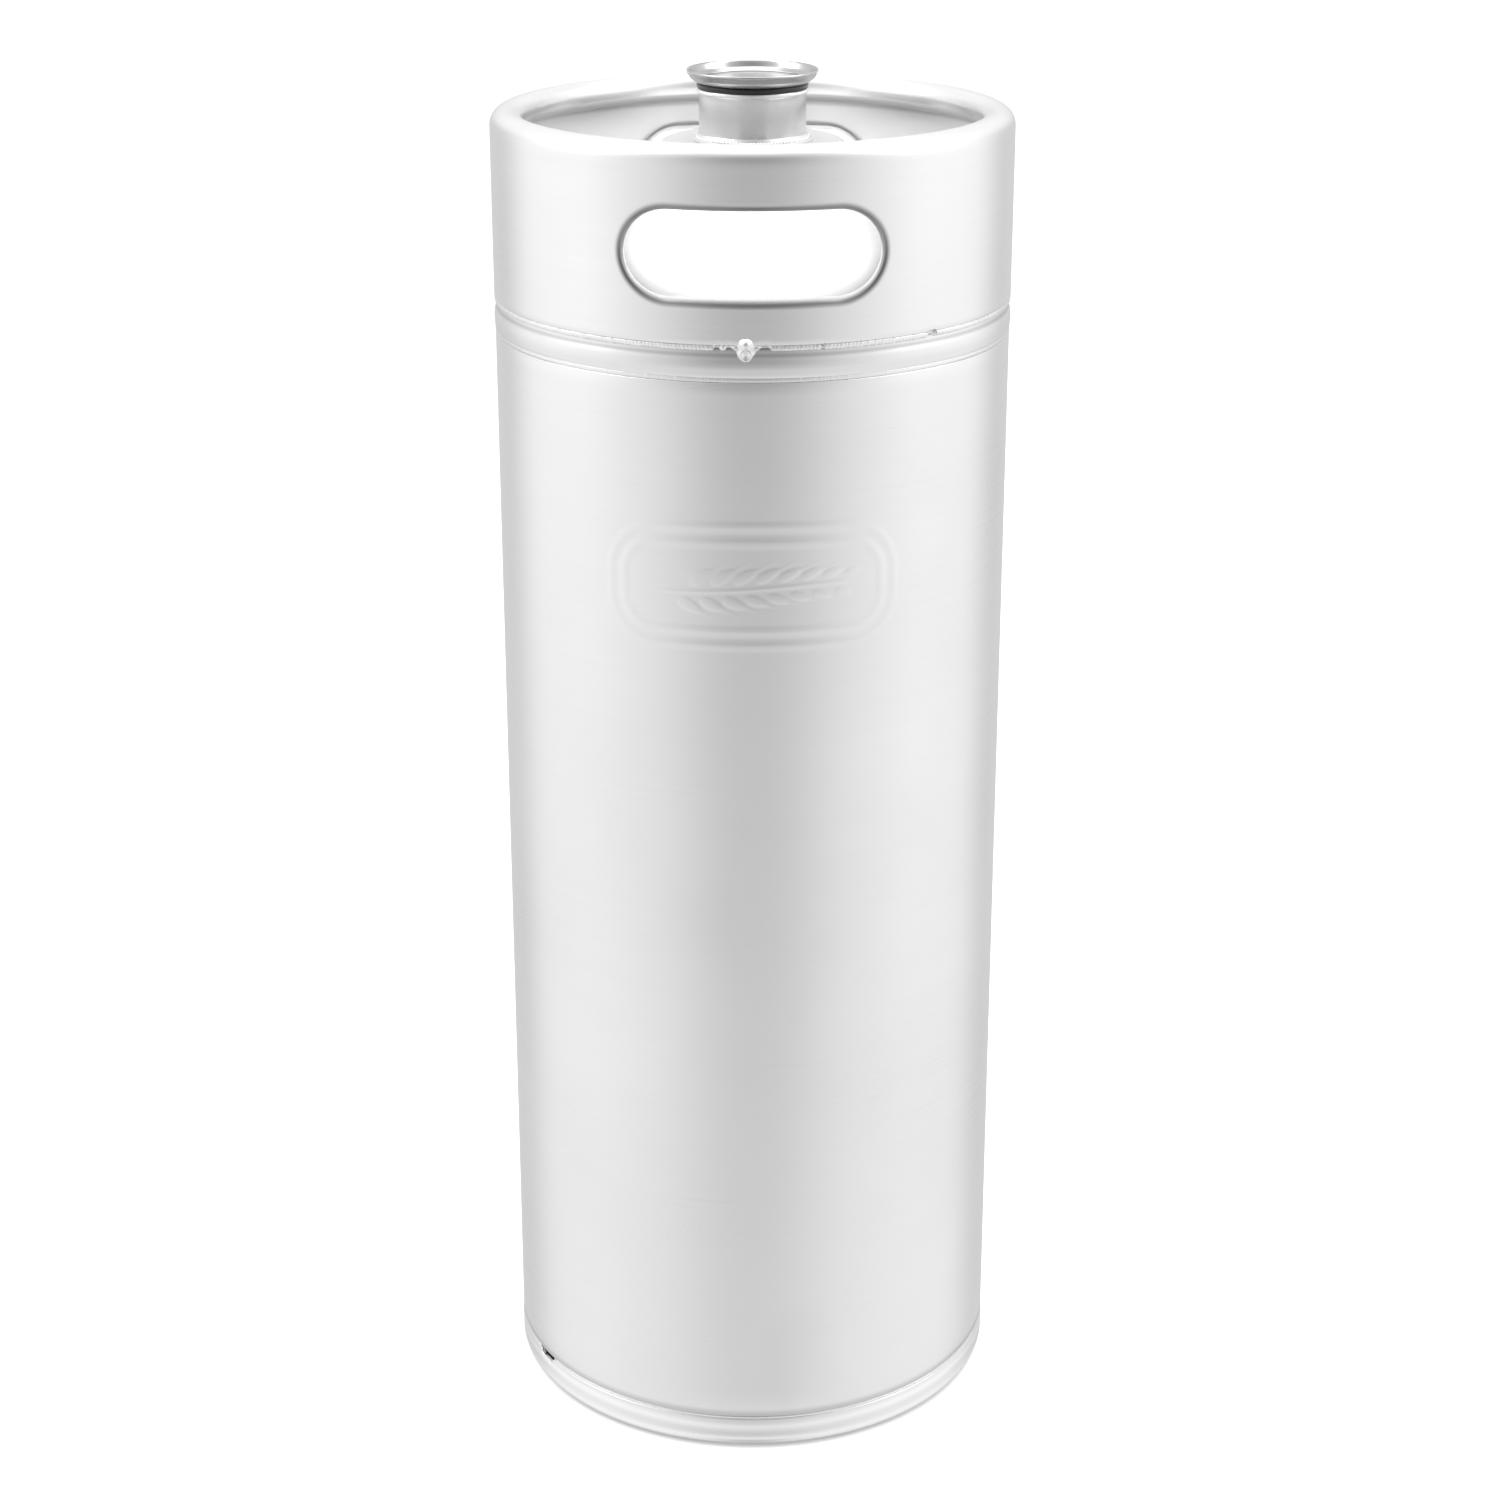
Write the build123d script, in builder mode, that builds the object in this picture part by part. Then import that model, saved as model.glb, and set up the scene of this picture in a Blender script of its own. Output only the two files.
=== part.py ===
"""Stainless mini beer keg: welded shell, collar with two hand slots, foot ring and screw cap.

The keg stands on the XY plane with its axis on Z. Its front, with the embossed panel, faces -Y.
All sizes are in millimetres.
"""

import os
from math import hypot

from build123d import *

os.makedirs("parts", exist_ok=True)

# Driving dimensions
body_radius = 84.0
sheet = 1.0
heavy_sheet = 1.2
fit_gap = 0.05

foot_height = 11.6
foot_corner = 4.5
foot_inner_radius = 75.5
foot_lip_height = 4.0
foot_lip_corner = 1.6

bottom_rise = 5.5
bottom_dome = 14.0
bottom_ring_radius = 70.0
bottom_dome_radius = 44.0
bottom_skirt = 15.4

shell_bottom = 12.6
shell_top = 374.6
head_bottom = 376.2
head_radius = body_radius + 0.3
collar_radius = body_radius + 0.2
collar_bottom = 386.2
rim_top = 445.5
rim_inner_radius = 73.6
rim_lip_drop = 5.7
rim_corner = 5.0
rim_lip_corner = 4.6

crown_height = 435.0
crown_radius = 28.8
crown_step = 3.5
crown_spread = 2.4
knuckle_radius = 16.0
knuckle_height = 386.7

slot_height = 413.0
slot_length = 78.0
slot_width = 26.4
slot_hem = 2.6
slot_hem_depth = 4.6
slot_edge_radius = 2.2

panel_height = 309.2
panel_length = 90.6
panel_width = 39.0
panel_step = 4.6
panel_corner = 16.0
ridge_width = 1.5
ridge_rise = 0.35

neck_radius = 17.2
neck_bore_radius = 15.6
neck_bottom = 429.5
lip_top = 451.3
lip_radius = 17.7
lip_thickness = 1.3

thread_pitch = 3.0
thread_half_root = 0.75
thread_half_crest = 0.35
thread_depth = 1.0
neck_thread_start = 433.0
neck_thread_length = 15.0

plug_radius = 14.3
plug_bore_radius = 12.4
plug_bottom = 439.5
plug_thread_start = neck_thread_start + 2.5 * thread_pitch
plug_thread_length = 8.0

gasket_thickness = 1.65
gasket_radius = 17.9
gasket_bore_radius = 14.7
cap_underside = lip_top + gasket_thickness + 2 * fit_gap
cap_rim_top = 456.6
cap_rim_radius = 21.0
cap_sheet = 0.9

seam_width = 2.4
weld_proud = 0.15
neck_weld_leg = 2.3
collar_weld_bottom = 383.2
collar_seam_angle = 118.0
drain_angle = 62.0
drain_length = 12.0
drain_depth = 1.8
tack_radius = 3.0
tack_start_angle = -91.4


# Barrel ----------------------------------------------------------------------------------

# Two raised lines around the blank panel, pressed out of the shell
with BuildPart() as panel_lines:
    with BuildSketch(Plane.XZ):
        with Locations((0, panel_height)):
            for inset in (0, panel_step):
                line_length = panel_length - 2 * inset
                line_width = panel_width - 2 * inset
                line_corner = panel_corner - inset
                RectangleRounded(line_length, line_width, line_corner)
                RectangleRounded(
                    line_length - 2 * ridge_width,
                    line_width - 2 * ridge_width,
                    line_corner - ridge_width,
                    mode=Mode.SUBTRACT,
                )
    extrude(amount=body_radius + 5)
    with BuildSketch(Plane.XY.offset(panel_height - panel_width)):
        Circle(body_radius + ridge_rise)
        Circle(body_radius - sheet / 2, mode=Mode.SUBTRACT)
    extrude(amount=2 * panel_width, mode=Mode.INTERSECT)

shell_length = shell_top - shell_bottom
shell_middle = (shell_top + shell_bottom) / 2

# Rolled sheet whose two edges leave a gap at the back for the seam weld
with BuildPart() as barrel_shell:
    with BuildSketch(Plane.XY.offset(shell_bottom)):
        Circle(body_radius)
        Circle(body_radius - sheet, mode=Mode.SUBTRACT)
    extrude(amount=shell_length)
    add(panel_lines.part)
    with Locations((0, body_radius, shell_middle)):
        Box(seam_width, 4 * sheet, shell_length, mode=Mode.SUBTRACT)
barrel_shell.part.label = "barrel_shell"

with BuildPart() as barrel_seam_weld:
    with BuildSketch(Plane.XY.offset(shell_bottom)):
        Circle(body_radius + weld_proud)
        Circle(body_radius - sheet, mode=Mode.SUBTRACT)
        with Locations((0, body_radius)):
            Rectangle(seam_width, 4 * sheet, mode=Mode.INTERSECT)
    extrude(amount=shell_length)
barrel_seam_weld.part.label = "barrel_seam_weld"


# Bottom ----------------------------------------------------------------------------------

skirt_radius = body_radius - sheet - fit_gap

with BuildPart() as bottom_head:
    with BuildSketch(Plane.XZ):
        with BuildLine():
            FilletPolyline(
                (skirt_radius, shell_bottom + bottom_skirt),
                (skirt_radius, bottom_rise),
                (bottom_ring_radius, bottom_rise),
                (bottom_dome_radius, bottom_dome),
                (0, bottom_dome),
                radius=[9.0, 16.0, 60.0],
            )
            offset(amount=sheet, side=Side.RIGHT)
        make_face()
    revolve(axis=Axis.Z)
bottom_head.part.label = "bottom_head"

# Foot with a drain notch in its upper edge, left of the front
with BuildPart() as foot_ring:
    with BuildSketch(Plane.XZ):
        with BuildLine():
            FilletPolyline(
                (body_radius, foot_height),
                (body_radius, 0),
                (foot_inner_radius, 0),
                (foot_inner_radius, foot_lip_height),
                radius=[foot_corner, foot_lip_corner],
            )
            offset(amount=heavy_sheet, side=Side.RIGHT)
        make_face()
    revolve(axis=Axis.Z)
    with Locations(Location((0, 0, foot_height), (0, 0, -drain_angle))):
        with Locations((0, -body_radius, 0)):
            Box(drain_length, 6.0, 2 * drain_depth, mode=Mode.SUBTRACT)
foot_ring.part.label = "foot_ring"

# Weld between foot and shell, left open over the drain notch
with BuildPart() as foot_weld:
    with BuildSketch(Plane.XY.offset(foot_height)):
        Circle(body_radius + fit_gap)
        Circle(body_radius - sheet, mode=Mode.SUBTRACT)
    extrude(amount=shell_bottom - foot_height)
    with Locations(Location((0, 0, foot_height), (0, 0, -drain_angle))):
        with Locations((0, -body_radius, 0)):
            Box(drain_length + 2, 6.0, 2 * drain_depth, mode=Mode.SUBTRACT)
foot_weld.part.label = "foot_weld"


# Top head and neck -----------------------------------------------------------------------

with BuildPart() as top_head:
    with BuildSketch(Plane.XZ):
        with BuildLine():
            FilletPolyline(
                (head_radius, head_bottom),
                (head_radius, knuckle_height),
                (crown_radius + crown_spread, crown_height - crown_step),
                (crown_radius, crown_height),
                (neck_radius + fit_gap, crown_height),
                radius=[knuckle_radius, 3.0, 2.0],
            )
            offset(amount=sheet, side=Side.LEFT)
        make_face()
    revolve(axis=Axis.Z)
top_head.part.label = "top_head"

# Girth weld that fills the gap between shell and top head
with BuildPart() as head_weld:
    with BuildSketch(Plane.XY.offset(shell_top)):
        Circle(body_radius + weld_proud)
        Circle(body_radius - sheet, mode=Mode.SUBTRACT)
    extrude(amount=head_bottom - shell_top)
head_weld.part.label = "head_weld"

with BuildPart() as neck:
    with BuildSketch(Plane.XY.offset(neck_bottom)):
        Circle(neck_radius)
    extrude(amount=lip_top - neck_bottom)
    with BuildSketch(Plane.XY.offset(lip_top - lip_thickness)):
        Circle(lip_radius)
    extrude(amount=lip_thickness)
    fillet(neck.edges().group_by(Axis.Z)[-1], radius=0.4)
    with BuildSketch(Plane.XY.offset(neck_bottom)):
        Circle(neck_bore_radius)
    extrude(amount=lip_top - neck_bottom, mode=Mode.SUBTRACT)
    with BuildLine():
        neck_helix = Helix(
            thread_pitch,
            neck_thread_length,
            neck_bore_radius + 0.1,
            center=(0, 0, neck_thread_start),
        )
    with BuildSketch(Plane(neck_helix @ 0, x_dir=(1, 0, 0), z_dir=neck_helix % 0)):
        Polygon(
            (0, -thread_half_root),
            (-thread_depth, -thread_half_crest),
            (-thread_depth, thread_half_crest),
            (0, thread_half_root),
            align=None,
        )
    sweep(path=neck_helix, is_frenet=True)
neck.part.label = "neck"

# Fillet weld between neck and crown, with a hollow face
with BuildPart() as neck_weld:
    with BuildSketch(Plane.XZ):
        weld_root = Vector(neck_radius + fit_gap, crown_height + fit_gap)
        weld_toe = weld_root + Vector(neck_weld_leg, 0)
        weld_crest = weld_root + Vector(0, neck_weld_leg)
        weld_face = weld_root + Vector(0.42, 0.42) * neck_weld_leg
        with BuildLine():
            Polyline(weld_crest, weld_root, weld_toe)
            ThreePointArc(weld_toe, weld_face, weld_crest)
        make_face()
    revolve(axis=Axis.Z)
neck_weld.part.label = "neck_weld"


# Collar ----------------------------------------------------------------------------------

def is_slot_rim(edge):
    """True for the edges that run around a hand slot on the collar's outer face."""
    middle = edge @ 0.5
    on_outer_face = hypot(middle.X, middle.Y) > collar_radius - fit_gap
    near_a_slot = abs(middle.Z - slot_height) < slot_width / 2 + 1 and abs(middle.Y) > abs(middle.X)
    return on_outer_face and near_a_slot


# Sheet turned in around the two hand slots
with BuildPart() as slot_hems:
    with BuildSketch(Plane.XZ):
        with Locations((0, slot_height)):
            SlotOverall(slot_length + 2 * slot_hem, slot_width + 2 * slot_hem)
    extrude(amount=body_radius + 5, both=True)
    with BuildSketch(Plane.XY.offset(slot_height - slot_width)):
        Circle(collar_radius)
        Circle(collar_radius - slot_hem_depth, mode=Mode.SUBTRACT)
    extrude(amount=2 * slot_width, mode=Mode.INTERSECT)

with BuildPart() as collar:
    with BuildSketch(Plane.XZ):
        with BuildLine():
            FilletPolyline(
                (collar_radius, collar_bottom),
                (collar_radius, rim_top),
                (rim_inner_radius, rim_top),
                (rim_inner_radius, rim_top - rim_lip_drop),
                radius=[rim_corner, rim_lip_corner],
            )
            offset(amount=heavy_sheet, side=Side.LEFT)
        make_face()
    revolve(axis=Axis.Z)
    add(slot_hems.part)
    with BuildSketch(Plane.XZ):
        with Locations((0, slot_height)):
            SlotOverall(slot_length, slot_width)
    extrude(amount=body_radius + 5, both=True, mode=Mode.SUBTRACT)
    fillet(collar.edges().filter_by(is_slot_rim), radius=slot_edge_radius)
collar.part.label = "collar"

# Ground-flush seam where the collar strip closes, behind the right-hand side
with BuildPart() as collar_seam_weld:
    with BuildSketch(Plane.XY.offset(collar_bottom + 2)):
        Circle(collar_radius + weld_proud)
        Circle(collar_radius + 0.01, mode=Mode.SUBTRACT)
        with Locations(Location((0, 0, 0), (0, 0, collar_seam_angle - 90))):
            with Locations((collar_radius, 0)):
                Rectangle(4 * sheet, seam_width, mode=Mode.INTERSECT)
    extrude(amount=rim_top - 7 - collar_bottom)
collar_seam_weld.part.label = "collar_seam_weld"

# Fillet weld in the groove between the top head's knuckle and the collar's lower edge
with BuildPart() as collar_weld:
    with BuildSketch(Plane.XZ):
        with BuildLine():
            weld_back = Line(
                (body_radius - 0.02, collar_weld_bottom),
                (body_radius - 1.02, collar_bottom - fit_gap),
            )
            weld_edge = Line(weld_back @ 1, (collar_radius - 0.1, collar_bottom - fit_gap))
            ThreePointArc(weld_edge @ 1, (collar_radius + 0.1, collar_bottom - 1.4), weld_back @ 0)
        make_face()
    revolve(axis=Axis.Z)
collar_weld.part.label = "collar_weld"

# Three tack welds that hold the collar, one close to the front
with BuildPart() as collar_tack_welds:
    with Locations((0, 0, collar_bottom - 1.3)):
        with PolarLocations(collar_radius - 1.3, 3, start_angle=tack_start_angle):
            Sphere(tack_radius)
    Cylinder(collar_radius + 0.12, 4 * rim_top, mode=Mode.SUBTRACT)
collar_tack_welds.part.label = "collar_tack_welds"


# Screw cap -------------------------------------------------------------------------------

with BuildPart() as cap_dish:
    with BuildSketch(Plane.XZ):
        with BuildLine():
            FilletPolyline(
                (0, cap_underside),
                (lip_radius + 0.2, cap_underside),
                (cap_rim_radius, cap_rim_top),
                radius=[1.2],
            )
            offset(amount=cap_sheet, side=Side.LEFT)
        make_face()
    revolve(axis=Axis.Z)
    fillet(cap_dish.edges().filter_by(GeomType.CIRCLE).group_by(Axis.Z)[-1], radius=0.3)
cap_dish.part.label = "cap_dish"

with BuildPart() as cap_plug:
    with BuildSketch(Plane.XY.offset(plug_bottom)):
        Circle(plug_radius)
    extrude(amount=cap_underside - plug_bottom)
    chamfer(cap_plug.edges().group_by(Axis.Z)[0], length=0.6)
    with BuildSketch(Plane.XY.offset(plug_bottom)):
        Circle(plug_bore_radius)
    extrude(amount=cap_underside - plug_bottom, mode=Mode.SUBTRACT)
    with BuildLine():
        plug_helix = Helix(
            thread_pitch,
            plug_thread_length,
            plug_radius - 0.1,
            center=(0, 0, plug_thread_start),
        )
    with BuildSketch(Plane(plug_helix @ 0, x_dir=(1, 0, 0), z_dir=plug_helix % 0)):
        Polygon(
            (0, -thread_half_root),
            (thread_depth, -thread_half_crest),
            (thread_depth, thread_half_crest),
            (0, thread_half_root),
            align=None,
        )
    sweep(path=plug_helix, is_frenet=True)
cap_plug.part.label = "cap_plug"

with BuildPart() as cap_gasket:
    with BuildSketch(Plane.XY.offset(lip_top + fit_gap)):
        Circle(gasket_radius)
        Circle(gasket_bore_radius, mode=Mode.SUBTRACT)
    extrude(amount=gasket_thickness)
    fillet(cap_gasket.edges().filter_by(GeomType.CIRCLE).group_by(SortBy.RADIUS)[-1], radius=0.5)
cap_gasket.part.label = "cap_gasket"


pieces = [
    barrel_shell,
    barrel_seam_weld,
    bottom_head,
    foot_ring,
    foot_weld,
    top_head,
    head_weld,
    neck,
    neck_weld,
    collar,
    collar_seam_weld,
    collar_weld,
    collar_tack_welds,
    cap_dish,
    cap_plug,
    cap_gasket,
]
for piece in pieces:
    export_step(piece.part, f"parts/{piece.part.label}.step")
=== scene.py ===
import math

import bmesh
import bpy
import numpy as np
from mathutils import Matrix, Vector


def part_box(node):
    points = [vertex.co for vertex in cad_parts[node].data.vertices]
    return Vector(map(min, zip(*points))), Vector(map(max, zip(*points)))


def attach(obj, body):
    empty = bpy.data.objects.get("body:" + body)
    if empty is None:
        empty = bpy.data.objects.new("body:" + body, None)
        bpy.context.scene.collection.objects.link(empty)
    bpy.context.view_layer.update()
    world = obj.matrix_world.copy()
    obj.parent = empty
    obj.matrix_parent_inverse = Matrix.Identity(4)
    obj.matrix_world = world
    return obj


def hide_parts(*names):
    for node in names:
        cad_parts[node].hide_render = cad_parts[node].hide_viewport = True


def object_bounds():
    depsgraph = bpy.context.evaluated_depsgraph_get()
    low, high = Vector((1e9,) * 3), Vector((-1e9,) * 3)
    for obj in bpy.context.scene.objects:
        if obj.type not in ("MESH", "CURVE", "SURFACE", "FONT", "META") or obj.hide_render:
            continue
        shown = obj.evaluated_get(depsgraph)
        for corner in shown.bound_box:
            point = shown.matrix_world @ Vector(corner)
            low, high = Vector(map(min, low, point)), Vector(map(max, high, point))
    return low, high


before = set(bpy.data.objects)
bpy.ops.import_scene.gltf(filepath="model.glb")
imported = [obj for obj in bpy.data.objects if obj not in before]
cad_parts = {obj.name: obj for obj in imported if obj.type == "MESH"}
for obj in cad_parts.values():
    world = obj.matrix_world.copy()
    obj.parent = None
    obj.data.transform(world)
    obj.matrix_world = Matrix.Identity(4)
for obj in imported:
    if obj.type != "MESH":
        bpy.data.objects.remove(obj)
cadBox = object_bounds()
mm = 0.001
print("frame loaded:", len(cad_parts), "nodes")

barrelLow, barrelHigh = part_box("barrel_shell")
collarLow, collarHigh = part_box("collar")
headLow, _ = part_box("top_head")
_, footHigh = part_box("foot_ring")
neckLow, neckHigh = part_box("neck")
dishLow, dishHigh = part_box("cap_dish")
plugLow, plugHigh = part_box("cap_plug")
gasketLow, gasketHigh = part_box("cap_gasket")

bodyRadius = round(barrelHigh.x, 3)
sheet = 1.0 * mm
heavySheet = 1.2 * mm


def smoothStep(low, high, value):
    t = np.clip((value - low) / (high - low), 0, 1)
    return t * t * (3 - 2 * t)


def roundedPath(corners, radii, step):
    # straight runs joined by tangent arcs, with points no further apart than step
    points = [np.array(corners[0], float)]
    for before, corner, after, radius in zip(corners, corners[1:], corners[2:], radii):
        before, corner, after = (np.array(p, float) for p in (before, corner, after))
        inDir = (corner - before) / np.linalg.norm(corner - before)
        outDir = (after - corner) / np.linalg.norm(after - corner)
        turn = math.acos(np.clip(inDir @ outDir, -1, 1))
        reach = radius * math.tan(turn / 2)
        side = math.copysign(1, inDir[0] * outDir[1] - inDir[1] * outDir[0])
        start = corner - inDir * reach
        centre = start + side * radius * np.array([-inDir[1], inDir[0]])
        addRun(points, start, step)
        arcSteps = max(4, math.ceil(radius * turn / min(step, radius / 5)))
        for k in range(1, arcSteps + 1):
            a = side * turn * k / arcSteps
            spoke = start - centre
            points.append(centre + np.array([
                spoke[0] * math.cos(a) - spoke[1] * math.sin(a),
                spoke[0] * math.sin(a) + spoke[1] * math.cos(a),
            ]))
    addRun(points, np.array(corners[-1], float), step)
    return np.array(points)


def addRun(points, end, step):
    start = points[-1]
    count = max(1, math.ceil(np.linalg.norm(end - start) / step))
    points.extend(start + (end - start) * k / count for k in range(1, count + 1))


def headings(path):
    # unit directions along a path
    along = np.gradient(path, axis=0)
    along /= np.linalg.norm(along, axis=1)[:, None]
    return along


def sheetSection(path, thickness, side):
    # closed section of a sheet whose outer face is the path, with rounded ends
    along = headings(path)
    inward = side * np.stack([-along[:, 1], along[:, 0]], axis=1)
    inner = path + inward * thickness
    return np.concatenate([path, sheetEnd(path[-1], inner[-1], along[-1]),
                           inner[::-1], sheetEnd(inner[0], path[0], -along[0])])


def sheetEnd(start, end, outward, steps=5):
    middle, half = (start + end) / 2, (start - end) / 2
    bulge = np.linalg.norm(half) * 0.7
    angles = np.linspace(0, math.pi, steps + 2)[1:-1]
    return np.array([middle + half * math.cos(a) + outward * bulge * math.sin(a) for a in angles])


def ringPoints(section, angles):
    # rows by columns of points turned round the keg's axis, with angle 0 at the front
    r, z = section[:, 0][:, None], section[:, 1][:, None]
    x, y = r * np.sin(angles)[None], -r * np.cos(angles)[None]
    return np.stack([x, y, np.broadcast_to(z, x.shape)], axis=2)


def evenAngles(count):
    return np.linspace(-math.pi, math.pi, count, endpoint=False)


def gradedAngles(count, fine, edge, gain, centres=(0.0,)):
    # angles packed gain times closer within fine of each centre, easing off over edge
    dense = np.linspace(-math.pi, math.pi, 20001)
    weight = np.ones_like(dense)
    for centre in centres:
        away = np.abs((dense - centre + math.pi) % (2 * math.pi) - math.pi)
        weight = np.maximum(weight, 1 + (gain - 1) * (1 - smoothStep(fine, fine + edge, away)))
    total = np.concatenate([[0], np.cumsum((weight[1:] + weight[:-1]) / 2)])
    return np.interp(np.arange(count) * total[-1] / count, total, dense)


def gridFaces(rows, columns, closedRows, keep=None):
    faces = []
    for i in range(rows if closedRows else rows - 1):
        j = np.arange(columns)
        k = (j + 1) % columns
        a, b = i * columns, (i + 1) % rows * columns
        quads = np.stack([a + j, a + k, b + k, b + j], axis=1)
        faces.append(quads if keep is None else quads[keep[i]])
    return np.concatenate(faces)


def meshObject(name, points, faces, weld=1e-7):
    mesh = bpy.data.meshes.new(name)
    mesh.from_pydata(points.reshape(-1, 3).tolist(), [], faces.tolist())
    bm = bmesh.new()
    bm.from_mesh(mesh)
    bmesh.ops.remove_doubles(bm, verts=bm.verts, dist=weld)
    bmesh.ops.dissolve_degenerate(bm, edges=bm.edges, dist=weld)
    bmesh.ops.recalc_face_normals(bm, faces=bm.faces)
    for face in bm.faces:
        face.smooth = True
    bm.to_mesh(mesh)
    bm.free()
    obj = bpy.data.objects.new(name, mesh)
    bpy.context.scene.collection.objects.link(obj)
    return obj


def turned(name, section, angles, closed=True):
    points = ringPoints(section, angles)
    return meshObject(name, points, gridFaces(len(section), len(angles), closed))


def joined(name, parts):
    with bpy.context.temp_override(active_object=parts[0], object=parts[0],
                                   selected_objects=parts, selected_editable_objects=parts):
        bpy.ops.object.join()
    parts[0].name = name
    parts[0].data.name = name
    return parts[0]


def turnOutward(obj):
    # an open skin round the axis: most of its faces should look away from the axis
    mesh = obj.data
    away = sum(f.area * (f.normal.x * f.center.x + f.normal.y * f.center.y) for f in mesh.polygons)
    if away < 0:
        mesh.flip_normals()


def wall(obj, thickness, edge=0.0):
    solid = obj.modifiers.new("wall", "SOLIDIFY")
    solid.thickness, solid.offset, solid.use_even_offset = thickness, -1, True
    if edge:
        soft = obj.modifiers.new("edge", "BEVEL")
        soft.width, soft.segments = edge, 2
        soft.limit_method, soft.angle_limit = "ANGLE", math.radians(60)


def finishPiece(obj, body, slot, material, *nodes):
    obj.data.materials.clear()
    obj.data.materials.append(material)
    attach(obj, body)
    if nodes:
        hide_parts(*nodes)
    return obj


class Wire:
    # a socket that can be used in plain arithmetic
    def __init__(self, shader, socket):
        self.shader, self.socket = shader, socket

    def __add__(self, other):
        return self.shader.maths("ADD", self, other)

    def __sub__(self, other):
        return self.shader.maths("SUBTRACT", self, other)

    def __rsub__(self, other):
        return self.shader.maths("SUBTRACT", other, self)

    def __mul__(self, other):
        return self.shader.maths("MULTIPLY", self, other)

    def __truediv__(self, other):
        return self.shader.maths("DIVIDE", self, other)

    def __pow__(self, other):
        return self.shader.maths("POWER", self, other)

    def __abs__(self):
        return self.shader.maths("ABSOLUTE", self)

    __radd__ = __add__
    __rmul__ = __mul__


class Shader:
    # a node tree that nodes are added to by type, settings and inputs
    def __init__(self, tree):
        self.tree = tree

    def node(self, kind, settings=None, inputs=None, out=0):
        node = self.tree.nodes.new("ShaderNode" + kind)
        for key, value in (settings or {}).items():
            setattr(node, key, value)
        for key, value in (inputs or {}).items():
            self.feed(node.inputs[key], value)
        return Wire(self, node.outputs[out])

    def feed(self, socket, value):
        if isinstance(value, Wire):
            self.tree.links.new(value.socket, socket)
        else:
            socket.default_value = value

    def maths(self, operation, first, second=0.0):
        return self.node("Math", {"operation": operation}, {0: first, 1: second})

    def smooth(self, value, low, high):
        return self.node("MapRange", {"interpolation_type": "SMOOTHSTEP"},
                         {"Value": value, "From Min": low, "From Max": high})

    def band(self, value, middle, half):
        # one at the middle, falling to nothing half away from it
        return 1.0 - self.smooth(abs(value - middle), 0.0, half)

    def vector(self, x, y, z):
        return self.node("CombineXYZ", inputs={"X": x, "Y": y, "Z": z})

    def noise(self, vector, scale, detail=2.0, rough=0.5, out=0):
        return self.node("TexNoise", inputs={"Vector": vector, "Scale": scale, "Detail": detail,
                                             "Roughness": rough}, out=out)

    def mix(self, factor, first, second):
        return self.node("Mix", {"data_type": "RGBA"}, {0: factor, 6: first, 7: second}, out=2)

    def place(self):
        split = self.tree.nodes.new("ShaderNodeSeparateXYZ")
        self.feed(split.inputs[0], self.node("TexCoord", out=3))
        return [Wire(self, s) for s in split.outputs]

    def bump(self, height, distance):
        return self.node("Bump", inputs={"Height": height, "Distance": distance, "Strength": 1.0})


class Finish(Shader):
    # one material
    def __init__(self, name):
        self.material = bpy.data.materials.new(name)
        self.material.use_nodes = True
        super().__init__(self.material.node_tree)
        self.surface = self.tree.nodes["Principled BSDF"]

    def done(self, **inputs):
        for key, value in inputs.items():
            self.feed(self.surface.inputs[key.replace("_", " ")], value)
        return self.material


class Growth:
    # a geometry node tree with named inputs; grow() turns it into a plain mesh object
    def __init__(self, name, inputs):
        self.tree = bpy.data.node_groups.new(name, "GeometryNodeTree")
        face = self.tree.interface
        face.new_socket("Geometry", in_out="INPUT", socket_type="NodeSocketGeometry")
        self.keys = {}
        for label, kind in inputs.items():
            socket = face.new_socket(label, in_out="INPUT", socket_type="NodeSocket" + kind)
            self.keys[label] = socket.identifier
        face.new_socket("Geometry", in_out="OUTPUT", socket_type="NodeSocketGeometry")
        self.entry = self.tree.nodes.new("NodeGroupInput")
        self.exit = self.tree.nodes.new("NodeGroupOutput")

    def given(self, label):
        return self.entry.outputs[label]

    def node(self, kind, settings=None, inputs=None, out=0):
        node = self.tree.nodes.new(kind)
        for key, value in (settings or {}).items():
            setattr(node, key, value)
        for key, value in (inputs or {}).items():
            if isinstance(value, bpy.types.NodeSocket):
                self.tree.links.new(value, node.inputs[key])
            else:
                node.inputs[key].default_value = value
        return node.outputs[out]

    def maths(self, operation, first, second=0.0):
        return self.node("ShaderNodeMath", {"operation": operation}, {0: first, 1: second})

    def close(self, geometry):
        real = self.node("GeometryNodeRealizeInstances", inputs={"Geometry": geometry})
        smooth = self.node("GeometryNodeSetShadeSmooth", inputs={"Geometry": real})
        painted = self.node("GeometryNodeSetMaterial", inputs={
            "Geometry": smooth, "Material": self.given("Material")})
        self.tree.links.new(painted, self.exit.inputs[0])

    def grow(self, name, values, base=None):
        carrier = bpy.data.objects.new(name + "Carrier", base or bpy.data.meshes.new(name + "Seed"))
        bpy.context.scene.collection.objects.link(carrier)
        modifier = carrier.modifiers.new("grow", "NODES")
        modifier.node_group = self.tree
        for label, value in values.items():
            modifier[self.keys[label]] = value
        ready = carrier.evaluated_get(bpy.context.evaluated_depsgraph_get())
        mesh = bpy.data.meshes.new_from_object(ready)
        mesh.name = name
        bpy.data.objects.remove(carrier)
        bm = bmesh.new()
        bm.from_mesh(mesh)
        bmesh.ops.remove_doubles(bm, verts=bm.verts, dist=1e-7)
        bmesh.ops.recalc_face_normals(bm, faces=bm.faces)
        bm.to_mesh(mesh)
        bm.free()
        obj = bpy.data.objects.new(name, mesh)
        bpy.context.scene.collection.objects.link(obj)
        return obj


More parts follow.
